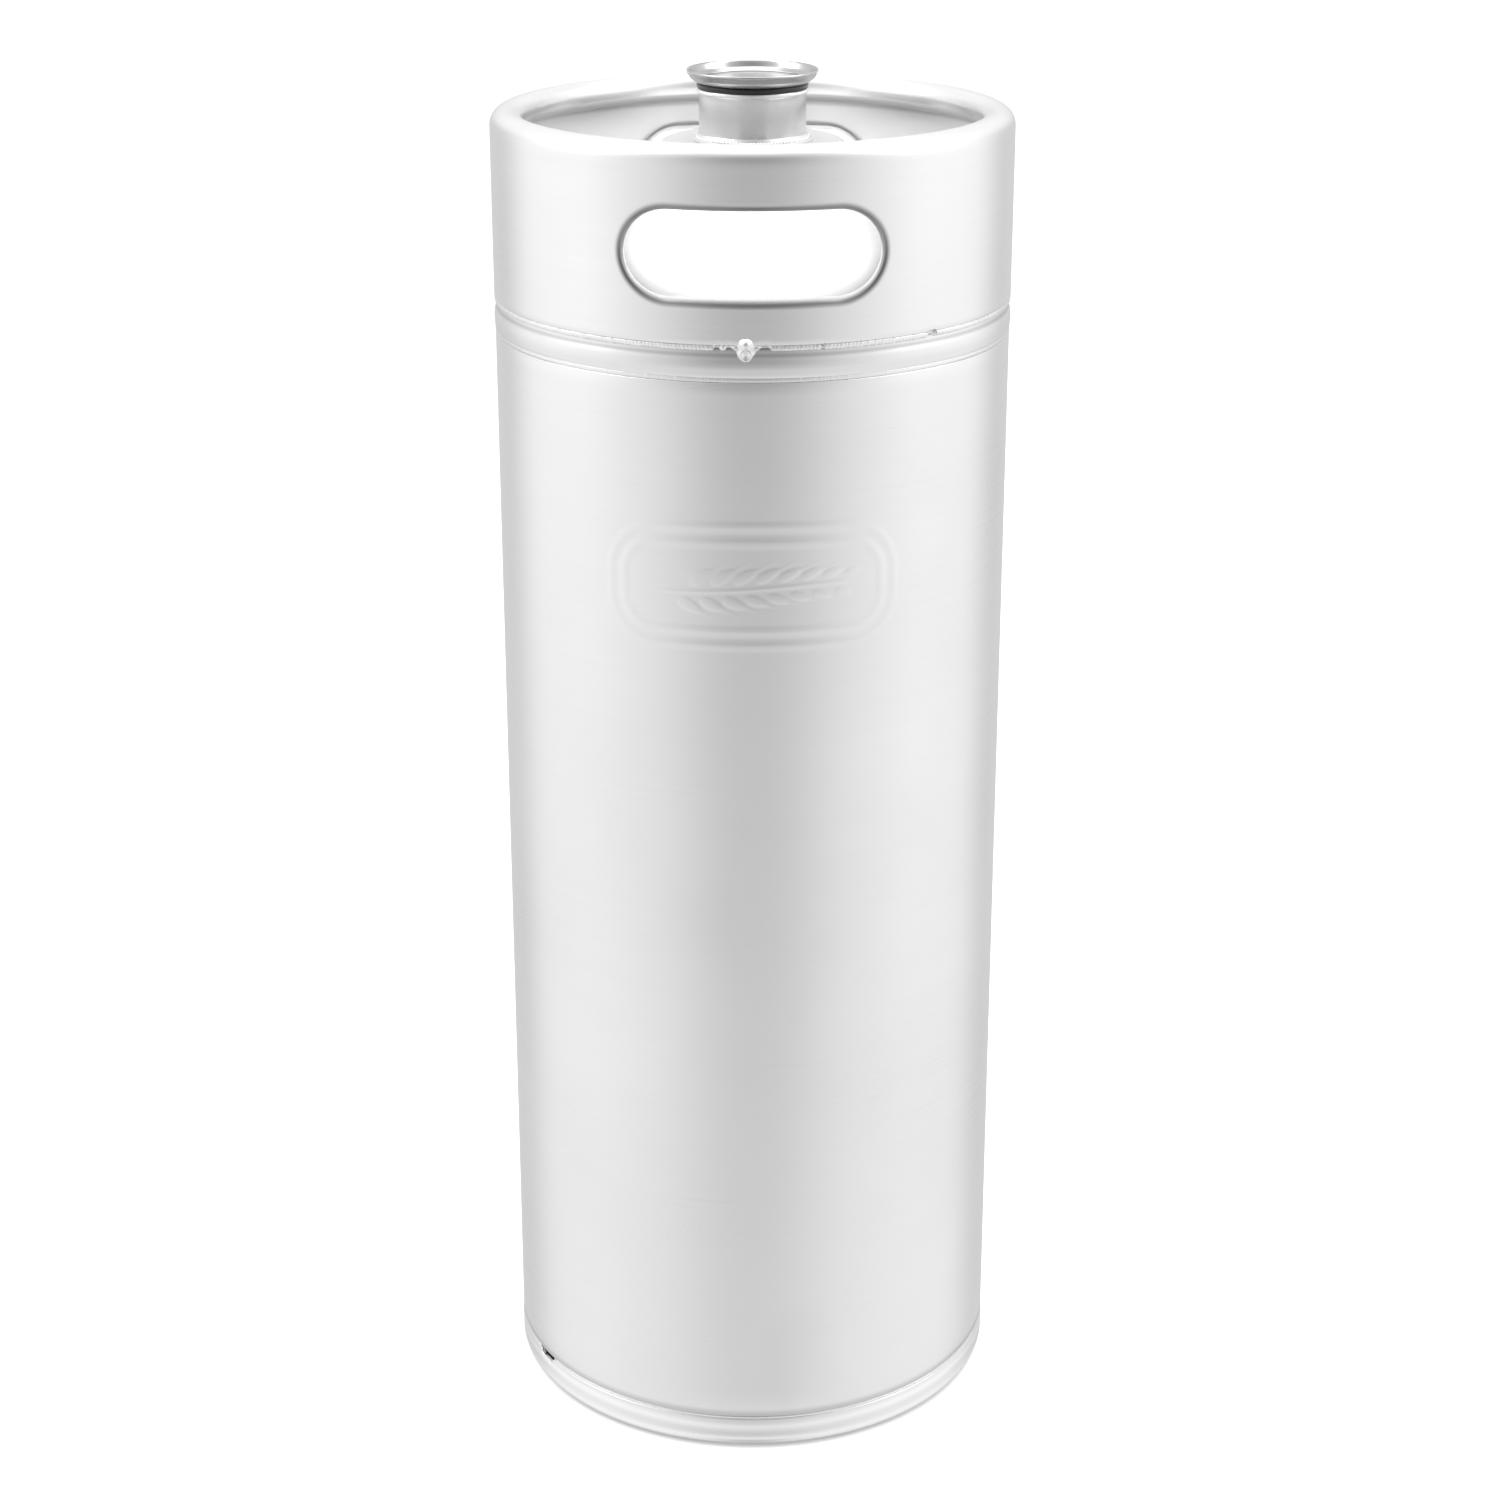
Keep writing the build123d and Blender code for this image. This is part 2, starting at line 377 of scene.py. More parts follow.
def threadTree():
    # a trapezoid ridge wound up a cylinder, fading out at both ends
    # a negative depth points inwards
    g = Growth("threadRidge", {
        "Radius": "Float", "Pitch": "Float", "Turns": "Float", "Depth": "Float",
        "Root": "Float", "Crest": "Float", "Start": "Float", "Material": "Material"})
    height = g.maths("MULTIPLY", g.given("Pitch"), g.given("Turns"))
    spiral = g.node("GeometryNodeCurveSpiral", inputs={
        "Resolution": 72, "Rotations": g.given("Turns"), "Start Radius": g.given("Radius"),
        "End Radius": g.given("Radius"), "Height": height})
    upright = g.node("GeometryNodeSetCurveNormal", {"mode": "Z_UP"}, {"Curve": spiral})
    along = g.node("GeometryNodeSplineParameter")
    fromEnd = g.maths("MINIMUM", along, g.maths("SUBTRACT", 1.0, along))
    fade = g.node("ShaderNodeMapRange", {"interpolation_type": "SMOOTHSTEP"},
                  {"Value": fromEnd, "From Min": 0.0, "From Max": 0.05, "To Min": 0.05})
    faded = g.node("GeometryNodeSetCurveRadius", inputs={"Curve": upright, "Radius": fade})
    profile = g.node("GeometryNodeCurvePrimitiveQuadrilateral", {"mode": "TRAPEZOID"}, {
        "Height": g.given("Depth"), "Bottom Width": g.given("Root"), "Top Width": g.given("Crest"),
        "Offset": 0.0})
    halfDepth = g.maths("MULTIPLY", g.given("Depth"), 0.5)
    middle = g.node("ShaderNodeCombineXYZ", inputs={"Y": halfDepth})
    raised = g.node("GeometryNodeTransform", inputs={"Geometry": profile, "Translation": middle})
    turned90 = g.node("GeometryNodeTransform", inputs={"Geometry": raised,
                                                       "Rotation": (0.0, 0.0, -math.pi / 2)})
    ridge = g.node("GeometryNodeCurveToMesh", inputs={"Curve": faded, "Profile Curve": turned90,
                                                      "Fill Caps": True})
    lift = g.node("ShaderNodeCombineXYZ", inputs={"Z": g.given("Start")})
    g.close(g.node("GeometryNodeTransform", inputs={"Geometry": ridge, "Translation": lift}))
    return g


def rippleTree():
    # overlapping weld ripples, one at each given spot, turned to face away from the axis
    g = Growth("weldRipples", {"Length": "Float", "Width": "Float", "Rise": "Float", "Seed": "Int",
                               "Material": "Material"})
    ripple = g.node("GeometryNodeMeshUVSphere", inputs={"Segments": 8, "Rings": 6, "Radius": 1.0})
    size = g.node("ShaderNodeCombineXYZ", inputs={
        "X": g.given("Rise"), "Y": g.given("Length"), "Z": g.given("Width")})
    shaped = g.node("GeometryNodeTransform", inputs={"Geometry": ripple, "Scale": size})
    uneven = g.node("FunctionNodeRandomValue", {"data_type": "FLOAT"},
                    {2: 0.8, 3: 1.12, "Seed": g.given("Seed")}, out=1)
    g.close(g.node("GeometryNodeInstanceOnPoints", inputs={
        "Points": g.given("Geometry"), "Instance": shaped, "Rotation": facingOut(g),
        "Scale": uneven}))
    return g


def facingOut(g):
    # the turn about the axis that points a copy's X axis away from it
    spot = g.node("GeometryNodeInputPosition")
    flat = g.node("ShaderNodeVectorMath", {"operation": "MULTIPLY"}, {0: spot, 1: (1.0, 1.0, 0.0)})
    return g.node("FunctionNodeAlignRotationToVector", {"axis": "X", "pivot_axis": "Z"},
                  {"Vector": flat})


def grey(tone):
    return (tone, tone, tone, 1.0)


# the dark grey is mixed in as painted shade; the pale grey as painted highlights and as the paler
# inside of the collar
shadeSteel, paleSteel = grey(0.2), grey(0.98)


def brushLines(m, x, y, z, around, across, detail, rough):
    # noise drawn out round the wall
    return m.noise(m.vector(x * around, y * around, z * across), 1.0, detail, rough)


def brushedSteel(name, look, paintedLight=None):
    m = Finish(name)
    x, y, z = m.place()
    fine = brushLines(m, x, y, z, look["around"], look["across"], 3.0, 0.6)
    broad = brushLines(m, x, y, z, look["broadAround"], look["broadAcross"], 2.0, 0.5)
    cloud = m.noise(m.vector(x, y, z), look["cloudScale"], 3.0, 0.55)
    scratch = m.smooth(
        brushLines(m, x, y, z, look["scratchAround"], look["scratchAcross"], 1.0, 0.3),
        *look["scratchRange"])
    smear = m.smooth(m.noise(m.vector(x, y, z * look["smearSquash"]), look["smearScale"], 2.0, 0.5),
                     *look["smearRange"])
    grain = (fine - 0.5) * look["grain"] + (broad - 0.5) * look["broad"]
    tone = (grain * look["toneGrain"] + (cloud - 0.5) * look["cloud"] + 0.5
            - scratch * look["toneScratch"])
    colour = m.mix(tone, look["dark"], look["light"])
    rough = ((cloud - 0.5) * look["roughCloud"] + grain * look["roughGrain"]
             + smear * look["smear"] + scratch * look["roughScratch"] + look["rough"])
    # the hook may paint shade and highlights into the colour by place on the object
    if paintedLight:
        colour, rough = paintedLight(m, x, y, z, colour, rough)
    height = ((fine - 0.5) * look["bumpFine"] + (broad - 0.5) * look["bumpBroad"]
              - scratch * look["bumpScratch"])
    return m.done(Base_Color=colour, Roughness=rough, Metallic=1.0, Anisotropic=look["stretch"],
                  Anisotropic_Rotation=0.25, Normal=m.bump(height, look["bump"]))


def turnedSteel(name, look):
    # lathe rings round the axis on flat faces and walls alike
    m = Finish(name)
    x, y, z = m.place()
    radius = (x * x + y * y) ** 0.5
    rings = m.noise(m.vector(radius * look["rings"], z * look["rings"], (x + y) * look["streaks"]),
                    1.0, 3.0, 0.6)
    cloud = m.noise(m.vector(x, y, z), look["cloudScale"], 2.0, 0.5)
    tone = (rings - 0.5) * look["toneRings"] + (cloud - 0.5) * look["toneCloud"] + 0.5
    colour = m.mix(tone, look["dark"], look["light"])
    rough = ((cloud - 0.5) * look["roughCloud"] + (rings - 0.5) * look["roughRings"]
             + look["rough"])
    return m.done(Base_Color=colour, Roughness=rough, Metallic=1.0, Anisotropic=look["stretch"],
                  Anisotropic_Rotation=0.25, Normal=m.bump(rings, look["bump"]))


def pressedSteel(name, look, paintedLight=None):
    # drawn sheet: soft orange-peel with faint draw lines that run away from the axis
    m = Finish(name)
    x, y, z = m.place()
    d = drawnSheet
    peel = m.noise(m.vector(x, y, z), d["peelScale"], 2.0, 0.5)
    cloud = m.noise(m.vector(x, y, z), d["cloudScale"], 3.0, 0.5)
    radius = (x * x + y * y) ** 0.5
    rings = m.noise(m.vector(radius * d["rings"], z * d["rings"], (x - y) * d["streaks"]),
                    1.0, 2.0, 0.5)
    tone = (cloud - 0.5) * d["toneCloud"] + (rings - 0.5) * d["toneRings"] + 0.5
    colour = m.mix(tone, look["dark"], look["light"])
    rough = (cloud - 0.5) * d["roughCloud"] + (rings - 0.5) * d["roughRings"] + look["rough"]
    # the hook may paint shade into the colour by place on the object
    if paintedLight:
        colour, rough = paintedLight(m, x, y, z, colour, rough)
    height = (peel - 0.5) * d["bumpPeel"] + (rings - 0.5) * d["bumpRings"]
    return m.done(Base_Color=colour, Roughness=rough, Metallic=1.0,
                  Normal=m.bump(height, look["bump"]))


def weldSteel(name, look):
    m = Finish(name)
    x, y, z = m.place()
    grit = m.noise(m.vector(x, y, z), look["gritScale"], 3.0, 0.6)
    tint = m.noise(m.vector(x, y, z), look["tintScale"], 2.0, 0.5)
    colour = m.mix(tint, look["dark"], look["light"])
    soot = m.smooth(grit, *look["sootRange"])
    colour = m.mix(soot * look["sootShare"], colour, look["soot"])
    return m.done(Base_Color=colour, Roughness=(grit - 0.5) * look["roughGrit"] + look["rough"],
                  Metallic=1.0, Normal=m.bump(grit, look["bump"]))


def siliconeRubber(name, look):
    m = Finish(name)
    x, y, z = m.place()
    grit = m.noise(m.vector(x, y, z), look["gritScale"], 3.0, 0.6)
    dust = m.smooth(m.noise(m.vector(x, y, z), look["dustScale"], 2.0, 0.5), *look["dustRange"])
    colour = m.mix(dust * look["dustShare"], look["dark"], look["light"])
    return m.done(Base_Color=colour, Roughness=(grit - 0.5) * look["roughGrit"] + look["rough"],
                  Metallic=0.0, Normal=m.bump(grit, look["bump"]))


shellLook = {
    "around": 22.0, "across": 2600.0, "grain": 0.34,             # fine brush lines
    "broadAround": 9.0, "broadAcross": 320.0, "broad": 0.12,
    "cloudScale": 13.0, "cloud": 0.5,
    "scratchAround": 16.0, "scratchAcross": 1500.0, "scratchRange": (0.72, 0.78),
    "smearSquash": 0.6, "smearScale": 34.0, "smearRange": (0.56, 0.72), "smear": 0.035,
    "toneGrain": 0.6, "toneScratch": 0.06,
    "rough": 0.29, "roughCloud": 0.08, "roughGrain": 0.2, "roughScratch": 0.05,
    "stretch": 0.7,
    "bump": 0.000008, "bumpFine": 0.7, "bumpBroad": 0.5, "bumpScratch": 0.03,
    "dark": grey(0.68), "light": grey(0.86),
}
fittingLook = {
    "rings": 1500.0, "streaks": 6.0, "cloudScale": 60.0,
    "toneRings": 0.5, "toneCloud": 0.4,
    "rough": 0.21, "roughCloud": 0.12, "roughRings": 0.18,
    "stretch": 0.4, "bump": 0.00001,
    "dark": grey(0.62), "light": grey(0.82),
}
drawnSheet = {  # shared by the heads and the cap
    "peelScale": 420.0, "cloudScale": 26.0, "rings": 900.0, "streaks": 8.0,
    "toneCloud": 0.7, "toneRings": 0.3, "roughCloud": 0.14, "roughRings": 0.12,
    "bumpPeel": 0.6, "bumpRings": 0.6,
}
headLook = {"rough": 0.32, "bump": 0.00002, "dark": grey(0.66), "light": grey(0.84)}
capLook = {"rough": 0.24, "bump": 0.00006, "dark": grey(0.38), "light": grey(0.62)}
weldLook = {
    "gritScale": 1400.0, "tintScale": 90.0, "sootRange": (0.60, 0.72), "sootShare": 0.35,
    "rough": 0.32, "roughGrit": 0.3, "bump": 0.00003,
    "dark": grey(0.72), "light": grey(0.88), "soot": grey(0.42),
}
sealLook = {
    "gritScale": 2600.0, "dustScale": 700.0, "dustRange": (0.58, 0.74), "dustShare": 0.35,
    "rough": 0.34, "roughGrit": 0.2, "bump": 0.00001,
    "dark": grey(0.012), "light": grey(0.05),
}

shellSteel = brushedSteel("brushedShell", shellLook)
fittingSteel = turnedSteel("turnedFitting", fittingLook)
capSteel = pressedSteel("pressedCap", capLook)
weldMetal = weldSteel("weldBead", weldLook)
sealRubber = siliconeRubber("sealRubber", sealLook)
print("finishes made")


barrel = {
    "columns": 520,
    "panelGain": 5.0,                # columns this many times closer over the panel
    "panelHeight": 309.2 * mm,       # middle of the panel
    "panelLength": 95.4 * mm,        # measured round the shell
    "panelWidth": 39.0 * mm,
    "panelCorner": 16.0 * mm,
    "lineStep": 4.6 * mm,            # from the outer raised line to the inner one
    "lineWidth": 2.3 * mm,
    "lineRise": 0.085 * mm,
    "channelSink": 0.03 * mm,
    "arch": 1.7 * mm,                # the top line bows up in the middle
    "fineRow": 0.36 * mm,
    "edgeRadius": 0.3 * mm,
    "channelEase": 1.2 * mm,
    "panelReach": (0.6, 0.6),        # half the fine columns and how they ease off, in radians
    "fineMargin": 1.5 * mm,
    "rowsBelow": 34,
    "rowsAbove": 12,
    "jointShade": (0.7 * mm, 2.4 * mm, 0.36),     # painted shade where the wall meets the foot: height in the wall, half width and share
}
sprig = {
    "scale": 1.5,
    "rise": 0.09 * mm,
    "grains": 8,
    "grainStart": -14.5 * mm,        # along the panel from its middle, before scaling
    "grainStep": 4.7 * mm,
    "grainLong": 3.0 * mm,
    "grainWide": 1.25 * mm,
    "lean": 0.5,
    "offset": 1.6 * mm,              # of each row of grains from the stem
    "stemWidth": 0.5 * mm,
    "stemStart": -21.5 * mm,
    "stemEnd": 20.0 * mm,
    "beardLength": 5.0 * mm,
    "beardWidth": 0.35 * mm,
    "beardRoot": 0.8,                # in grain lengths
    "beardRise": 0.4,
    "bend": 0.9 * mm,
    "bendLength": 13 * mm,
    "stemEase": 4 * mm,
    "stemRise": 0.6,
    "leanEase": 0.08,                # each pair of grains lies closer to the stem
    "taper": 0.045,                  # and is smaller
    "stagger": 0.25,
    "point": 0.25,
}


def panelDistance(s, z, inset=0.0):
    # signed distance from the panel's rounded outline, negative inside
    halfLong = barrel["panelLength"] / 2 - inset
    halfWide = barrel["panelWidth"] / 2 - inset
    corner = barrel["panelCorner"] - inset
    dx = np.abs(s) - halfLong + corner
    dz = np.abs(z) - halfWide + corner
    beyond = np.hypot(np.maximum(dx, 0), np.maximum(dz, 0))
    return beyond + np.minimum(np.maximum(dx, dz), 0) - corner


def sprigRelief(s, z):
    # a plain ear of barley lying along the panel: a stem, two rows of grains and their beards
    s, z = s / sprig["scale"], z / sprig["scale"]
    z = z - sprig["bend"] * np.sin(s / sprig["bendLength"])
    stemStart, grainLong = sprig["stemStart"], sprig["grainLong"]
    onStem = smoothStep(stemStart, stemStart + sprig["stemEase"], s) * (s < sprig["stemEnd"])
    relief = sprig["stemRise"] * onStem * np.clip(1 - (z / sprig["stemWidth"]) ** 2, 0, 1)
    for k in range(sprig["grains"]):
        for side in (-1, 1):
            lean = side * sprig["lean"] * (1 - sprig["leanEase"] * k)
            size = 1 - sprig["taper"] * k
            along = np.array([math.cos(lean), math.sin(lean)])
            root = sprig["grainStart"] + (k + sprig["stagger"] * side) * sprig["grainStep"]
            middle = np.array([root, side * sprig["offset"]]) + along * grainLong * size
            u = (s - middle[0]) * along[0] + (z - middle[1]) * along[1]
            v = -(s - middle[0]) * along[1] + (z - middle[1]) * along[0]
            wide = sprig["grainWide"] * (1 - sprig["point"] * u / grainLong)
            q = np.hypot(u / grainLong, v / wide)
            relief = np.maximum(relief, np.sqrt(np.clip(1 - (q / size) ** 2, 0, 1)))
            t = (u - sprig["beardRoot"] * grainLong) / sprig["beardLength"]
            hair = np.clip(1 - np.abs(v) / sprig["beardWidth"], 0, 1) * (1 - np.clip(t, 0, 1))
            relief = np.where(t > 0, np.maximum(relief, sprig["beardRise"] * hair), relief)
    return relief * sprig["rise"]


def panelRelief(s, z):
    bow = np.clip(1 - (2 * s / barrel["panelLength"]) ** 2, 0, 1)
    z = z - barrel["arch"] * bow * np.clip(2 * z / barrel["panelWidth"], 0, 1)
    outer = panelDistance(s, z) + barrel["lineWidth"] / 2
    inner = panelDistance(s, z, barrel["lineStep"]) + barrel["lineWidth"] / 2
    rise = np.zeros_like(s)
    for line in (outer, inner):
        rise += barrel["lineRise"] * np.clip(1 - (line / barrel["lineWidth"]) ** 2, 0, 1) ** 2
    ease = barrel["channelEase"]
    between = smoothStep(0, ease, -outer) * smoothStep(0, ease, inner)
    return rise - barrel["channelSink"] * between + sprigRelief(s, z)


def makeBarrel():
    bottom, top = barrelLow.z, barrelHigh.z
    edge = barrel["edgeRadius"]
    half = barrel["panelWidth"] / 2 + barrel["fineMargin"]
    low, high = barrel["panelHeight"] - half, barrel["panelHeight"] + half + barrel["arch"]
    fineRows = np.arange(low, high, barrel["fineRow"])
    wallRows = np.concatenate([
        np.linspace(bottom + edge, low, barrel["rowsBelow"], endpoint=False), fineRows,
        np.linspace(high, top - edge, barrel["rowsAbove"])])
    turn = np.linspace(0, math.pi / 2, 4)
    outer = np.stack([np.full_like(wallRows, bodyRadius), wallRows], axis=1)
    topEdge = np.stack([bodyRadius - edge + edge * np.cos(turn),
                        top - edge + edge * np.sin(turn)], axis=1)
    bottomEdge = np.stack([topEdge[::-1, 0], bottom + edge - edge * np.sin(turn[::-1])], axis=1)
    innerRadius = bodyRadius - sheet
    inner = np.array([[innerRadius, top], [innerRadius, (top + bottom) / 2], [innerRadius, bottom]])
    section = np.concatenate([outer, topEdge[1:], inner, bottomEdge[:-1]])
    angles = gradedAngles(barrel["columns"], *barrel["panelReach"], barrel["panelGain"])
    points = ringPoints(section, angles)
    s = np.broadcast_to(angles * bodyRadius, points.shape[:2])[:len(outer)]
    z = points[:len(outer), :, 2] - barrel["panelHeight"]
    gain = 1 + panelRelief(s, z) / bodyRadius
    points[:len(outer), :, :2] *= gain[..., None]
    return meshObject("barrel", points, gridFaces(len(section), len(angles), True))


def barrelFootShade(m, x, y, z, colour, rough):
    # painted shade where the wall meets the foot
    up, half, share = barrel["jointShade"]
    return m.mix(m.band(z, barrelLow.z + up, half) * share, colour, shadeSteel), rough


barrelSteel = brushedSteel("brushedBarrel", shellLook, barrelFootShade)
finishPiece(makeBarrel(), "keg", "brushed_shell", barrelSteel, "barrel_shell")
print("barrel made")


collar = {
    "radius": 84.2 * mm,
    "bottom": collarLow.z,
    "top": collarHigh.z,
    "lipRadius": 73.6 * mm,
    "lipDrop": 9.2 * mm,
    "lipCurl": 2.6 * mm,
    "shoulder": 5.0 * mm,
    "curl": 4.6 * mm,
    "rowStep": 1.6 * mm,
    "columns": 560,
    "slotHeight": 413.0 * mm,
    "slotLength": 78.0 * mm,
    "slotWidth": 26.4 * mm,
    "hem": 2.6 * mm,                 # radius of the edge turned in round a slot
    "hemLip": 1.4 * mm,
    "patchReach": 0.62,              # half the patch round a slot, in radians
    "patchLow": 393.0 * mm,
    "patchHigh": 434.0 * mm,
    "edgeRadius": 0.25 * mm,
    "lipEnd": 0.6 * mm,
    "gapFade": 5 * mm,
    "flatRings": 10,                 # rings of faces round a slot, then round its hem
    "ringEase": 0.8,
    "hemRings": 9,
    "slotReach": (0.25, 0.6, 2.0),   # half the fine columns, how they ease off and their gain
}
collarShadeAndFinish = {
    "skin": (83.1 * mm, 83.8 * mm),          # radii that part the inside from the outside
    "insideTop": (6.8 * mm, 6.0 * mm),       # distances below the top
    "insidePale": 0.75,
    "insideRough": 0.2,
    "foldShade": (1.2 * mm, 1.8 * mm, 0.86),      # painted shade round a slot: away from it, half width and share
    "foldBack": 1.0 * mm,
    "underLipShade": (3.0 * mm, 1.2 * mm, 0.42),  # painted shade under the lip: distances below the lip and share
    "crown": (3.6 * mm, 1.4 * mm, 0.6),      # painted highlight on the crown: distances below the top and share
}
# places where the weld missed the collar's lower edge: angle, half width and height
weldGaps = [(-0.130, 0.018, 0.4 * mm), (-0.085, 0.020, 0.4 * mm), (0.045, 0.028, 0.4 * mm),
            (0.256, 0.008, 0.3 * mm), (0.715, 0.022, 0.4 * mm), (2.31, 0.02, 0.4 * mm),
            (-1.72, 0.018, 0.3 * mm), (3.02, 0.03, 0.4 * mm)]


def stadiumSpot(x, z, inset):
    # nearest point of the slot's outline to a point beyond it, drawn in by inset
    straight = (collar["slotLength"] - collar["slotWidth"]) / 2
    radius = collar["slotWidth"] / 2 + collar["hem"]
    cx = np.clip(x, -straight, straight)
    nx, nz = x - cx, z
    length = np.hypot(nx, nz)
    return cx + nx / length * (radius - inset), nz / length * (radius - inset)


def slotPatch(x, z, facing):
    # rings from the patch's border to the slot, then round the turned-in hem
    hem, radius = collar["hem"], collar["radius"]
    rimX, rimZ = stadiumSpot(x, z, 0.0)
    rings = []
    for t in np.linspace(0, 1, collar["flatRings"])[1:]:
        ease = t ** collar["ringEase"]
        rings.append((x + (rimX - x) * ease, z + (rimZ - z) * ease, 0.0))
    for a in np.linspace(0, math.pi / 2, collar["hemRings"])[1:]:
        ringX, ringZ = stadiumSpot(x, z, hem * math.sin(a))
        rings.append((ringX, ringZ, hem * (1 - math.cos(a))))
    ringX, ringZ = stadiumSpot(x, z, hem)
    for depth in (0.5, 1.0):
        rings.append((ringX, ringZ, hem + collar["hemLip"] * depth))
    made = []
    for ringX, ringZ, depth in rings:
        made.append(np.stack([facing * ringX, facing * (depth - np.sqrt(radius ** 2 - ringX ** 2)),
                              ringZ + collar["slotHeight"]], axis=1))
    return np.array(made)


def makeCollar():
    path = roundedPath([(collar["radius"], collar["bottom"]), (collar["radius"], collar["top"]),
                        (collar["lipRadius"], collar["top"]),
                        (collar["lipRadius"], collar["top"] - collar["lipDrop"]),
                        (collar["lipRadius"] + collar["lipCurl"] + collar["lipEnd"],
                         collar["top"] - collar["lipDrop"])],
                       [collar["shoulder"], collar["curl"], collar["lipCurl"]], collar["rowStep"])
    angles = gradedAngles(collar["columns"], *collar["slotReach"], (0.0, math.pi, -math.pi))
    points = ringPoints(path, angles)
    lift = np.zeros_like(angles)
    for at, half, height in weldGaps:
        lift = np.maximum(lift, height * (1 - smoothStep(half * 0.5, half, np.abs(angles - at))))
    fade = 1 - smoothStep(0, collar["gapFade"], points[:, :, 2] - collar["bottom"])
    points[:, :, 2] += fade * lift[None]
    rows, columns = points.shape[:2]
    heights = path[:, 1]
    rowSpan = np.where((heights >= collar["patchLow"]) & (heights <= collar["patchHigh"])
                       & (path[:, 0] > collar["radius"] - 1e-6))[0]
    firstRow, lastRow = rowSpan[0], rowSpan[-1]
    keep = np.ones((rows - 1, columns), bool)
    parts, faceSets, offset = [points.reshape(-1, 3)], [], rows * columns
    for facing, centre in ((1, 0.0), (-1, math.pi)):
        away = (angles - centre + math.pi) % (2 * math.pi) - math.pi
        order = np.argsort(away)
        inside = order[np.abs(away[order]) < collar["patchReach"]]
        keep[firstRow:lastRow][:, inside[:-1]] = False
        upper = [(lastRow, c) for c in inside]
        right = [(r, inside[-1]) for r in range(lastRow - 1, firstRow, -1)]
        lower = [(firstRow, c) for c in inside[::-1]]
        left = [(r, inside[0]) for r in range(firstRow + 1, lastRow)]
        border = np.array([points[r, c] for r, c in upper + right + lower + left])
        rings = slotPatch(facing * border[:, 0], border[:, 2] - collar["slotHeight"], facing)
        rings = np.concatenate([border[None], rings])
        parts.append(rings.reshape(-1, 3))
        faceSets.append(gridFaces(rings.shape[0], rings.shape[1], False) + offset)
        offset += rings.shape[0] * rings.shape[1]
    faces = np.concatenate([gridFaces(rows, columns, False, keep)] + faceSets)
    obj = meshObject("handCollar", np.concatenate(parts), faces, 2e-6)
    turnOutward(obj)
    wall(obj, heavySheet, collar["edgeRadius"])
    return obj


def collarLightAndFinish(m, x, y, z, colour, rough):
    # painted shade round the slots and under the lip, a pale rough inside and a painted highlight
    # on the crown
    f, top = collarShadeAndFinish, collar["top"]
    lip = top - collar["lipDrop"]
    radius = (x * x + y * y) ** 0.5
    straight = (collar["slotLength"] - collar["slotWidth"]) / 2
    over = m.maths("MAXIMUM", abs(x) - straight, 0.0)
    rise = z - collar["slotHeight"]
    away = (over * over + rise * rise) ** 0.5 - collar["slotWidth"] / 2
    insideLow, insideHigh = f["insideTop"]
    inside = ((1.0 - m.smooth(radius, *f["skin"]))
              * (1.0 - m.smooth(z, top - insideLow, top - insideHigh)))
    colour = m.mix(inside * f["insidePale"], colour, paleSteel)
    # the folds round the slots and the lip's underside get painted shade
    foldAt, foldHalf, foldShare = f["foldShade"]
    shade = (m.band(away, foldAt, foldHalf)
             * (1.0 - inside * m.smooth(y, 0.0, f["foldBack"])) * foldShare)
    lipLow, lipHigh, lipShare = f["underLipShade"]
    underLipShade = inside * m.smooth(z, lip - lipLow, lip - lipHigh) * lipShare
    colour = m.mix(m.maths("MAXIMUM", shade, underLipShade), colour, shadeSteel)
    # a painted highlight along the crown
    crownLow, crownHigh, crownShare = f["crown"]
    colour = m.mix(m.smooth(z, top - crownLow, top - crownHigh) * crownShare, colour, paleSteel)
    return colour, rough + inside * f["insideRough"]


collarSteel = brushedSteel("brushedCollar", shellLook, collarLightAndFinish)
finishPiece(makeCollar(), "keg", "brushed_shell", collarSteel, "collar")
print("collar made")


topHead = {
    "skirtRadius": 84.05 * mm,
    "bottom": headLow.z,
    "bead": (379.5 * mm, 2.8 * mm, 0.26 * mm),      # height, half width and rise
    "groove": (382.9 * mm, 0.7 * mm, 0.20 * mm),
    "knuckleHeight": 386.7 * mm,
    "knuckle": 16.0 * mm,
    "crownRadius": 28.8 * mm,
    "crownHeight": 435.0 * mm,
    "crownStep": (2.4 * mm, 3.5 * mm),
    "crownCorners": (3.0 * mm, 3.0 * mm),
    "neckHole": 17.25 * mm,
    "step": 0.8 * mm,
    "columns": 240,
    "grooveShade": (1.1 * mm, 0.36),                # half width and share
    "weldShade": (2.5 * mm, 1.4 * mm, 0.9),         # above the groove, half width and share
}
bottomHead = {
    "skirtRadius": 82.95 * mm,
    "top": 28.0 * mm,
    "rest": 5.5 * mm,
    "dome": 14.0 * mm,
    "ringRadius": 70.0 * mm,
    "domeRadius": 44.0 * mm,
    "radii": [9.0 * mm, 16.0 * mm, 60.0 * mm],
    "lap": 6 * mm,                   # height at which the skirt begins to thin
    "step": 2.5 * mm,
    "columns": 200,
}


def swell(heights, band):
    middle, half, rise = band
    return rise * np.exp(-((heights - middle) / half) ** 2)


def makeTopHead():
    t = topHead
    stepOut, stepDown = t["crownStep"]
    path = roundedPath([(t["skirtRadius"], t["bottom"]), (t["skirtRadius"], t["knuckleHeight"]),
                        (t["crownRadius"] + stepOut, t["crownHeight"] - stepDown),
                        (t["crownRadius"], t["crownHeight"]), (t["neckHole"], t["crownHeight"])],
                       [t["knuckle"], *t["crownCorners"]], t["step"])
    skirt = path[:, 1] < t["knuckleHeight"]
    path[skirt, 0] += swell(path[skirt, 1], t["bead"]) - swell(path[skirt, 1], t["groove"])
    return turned("topDome", sheetSection(path, sheet, 1), evenAngles(t["columns"]))


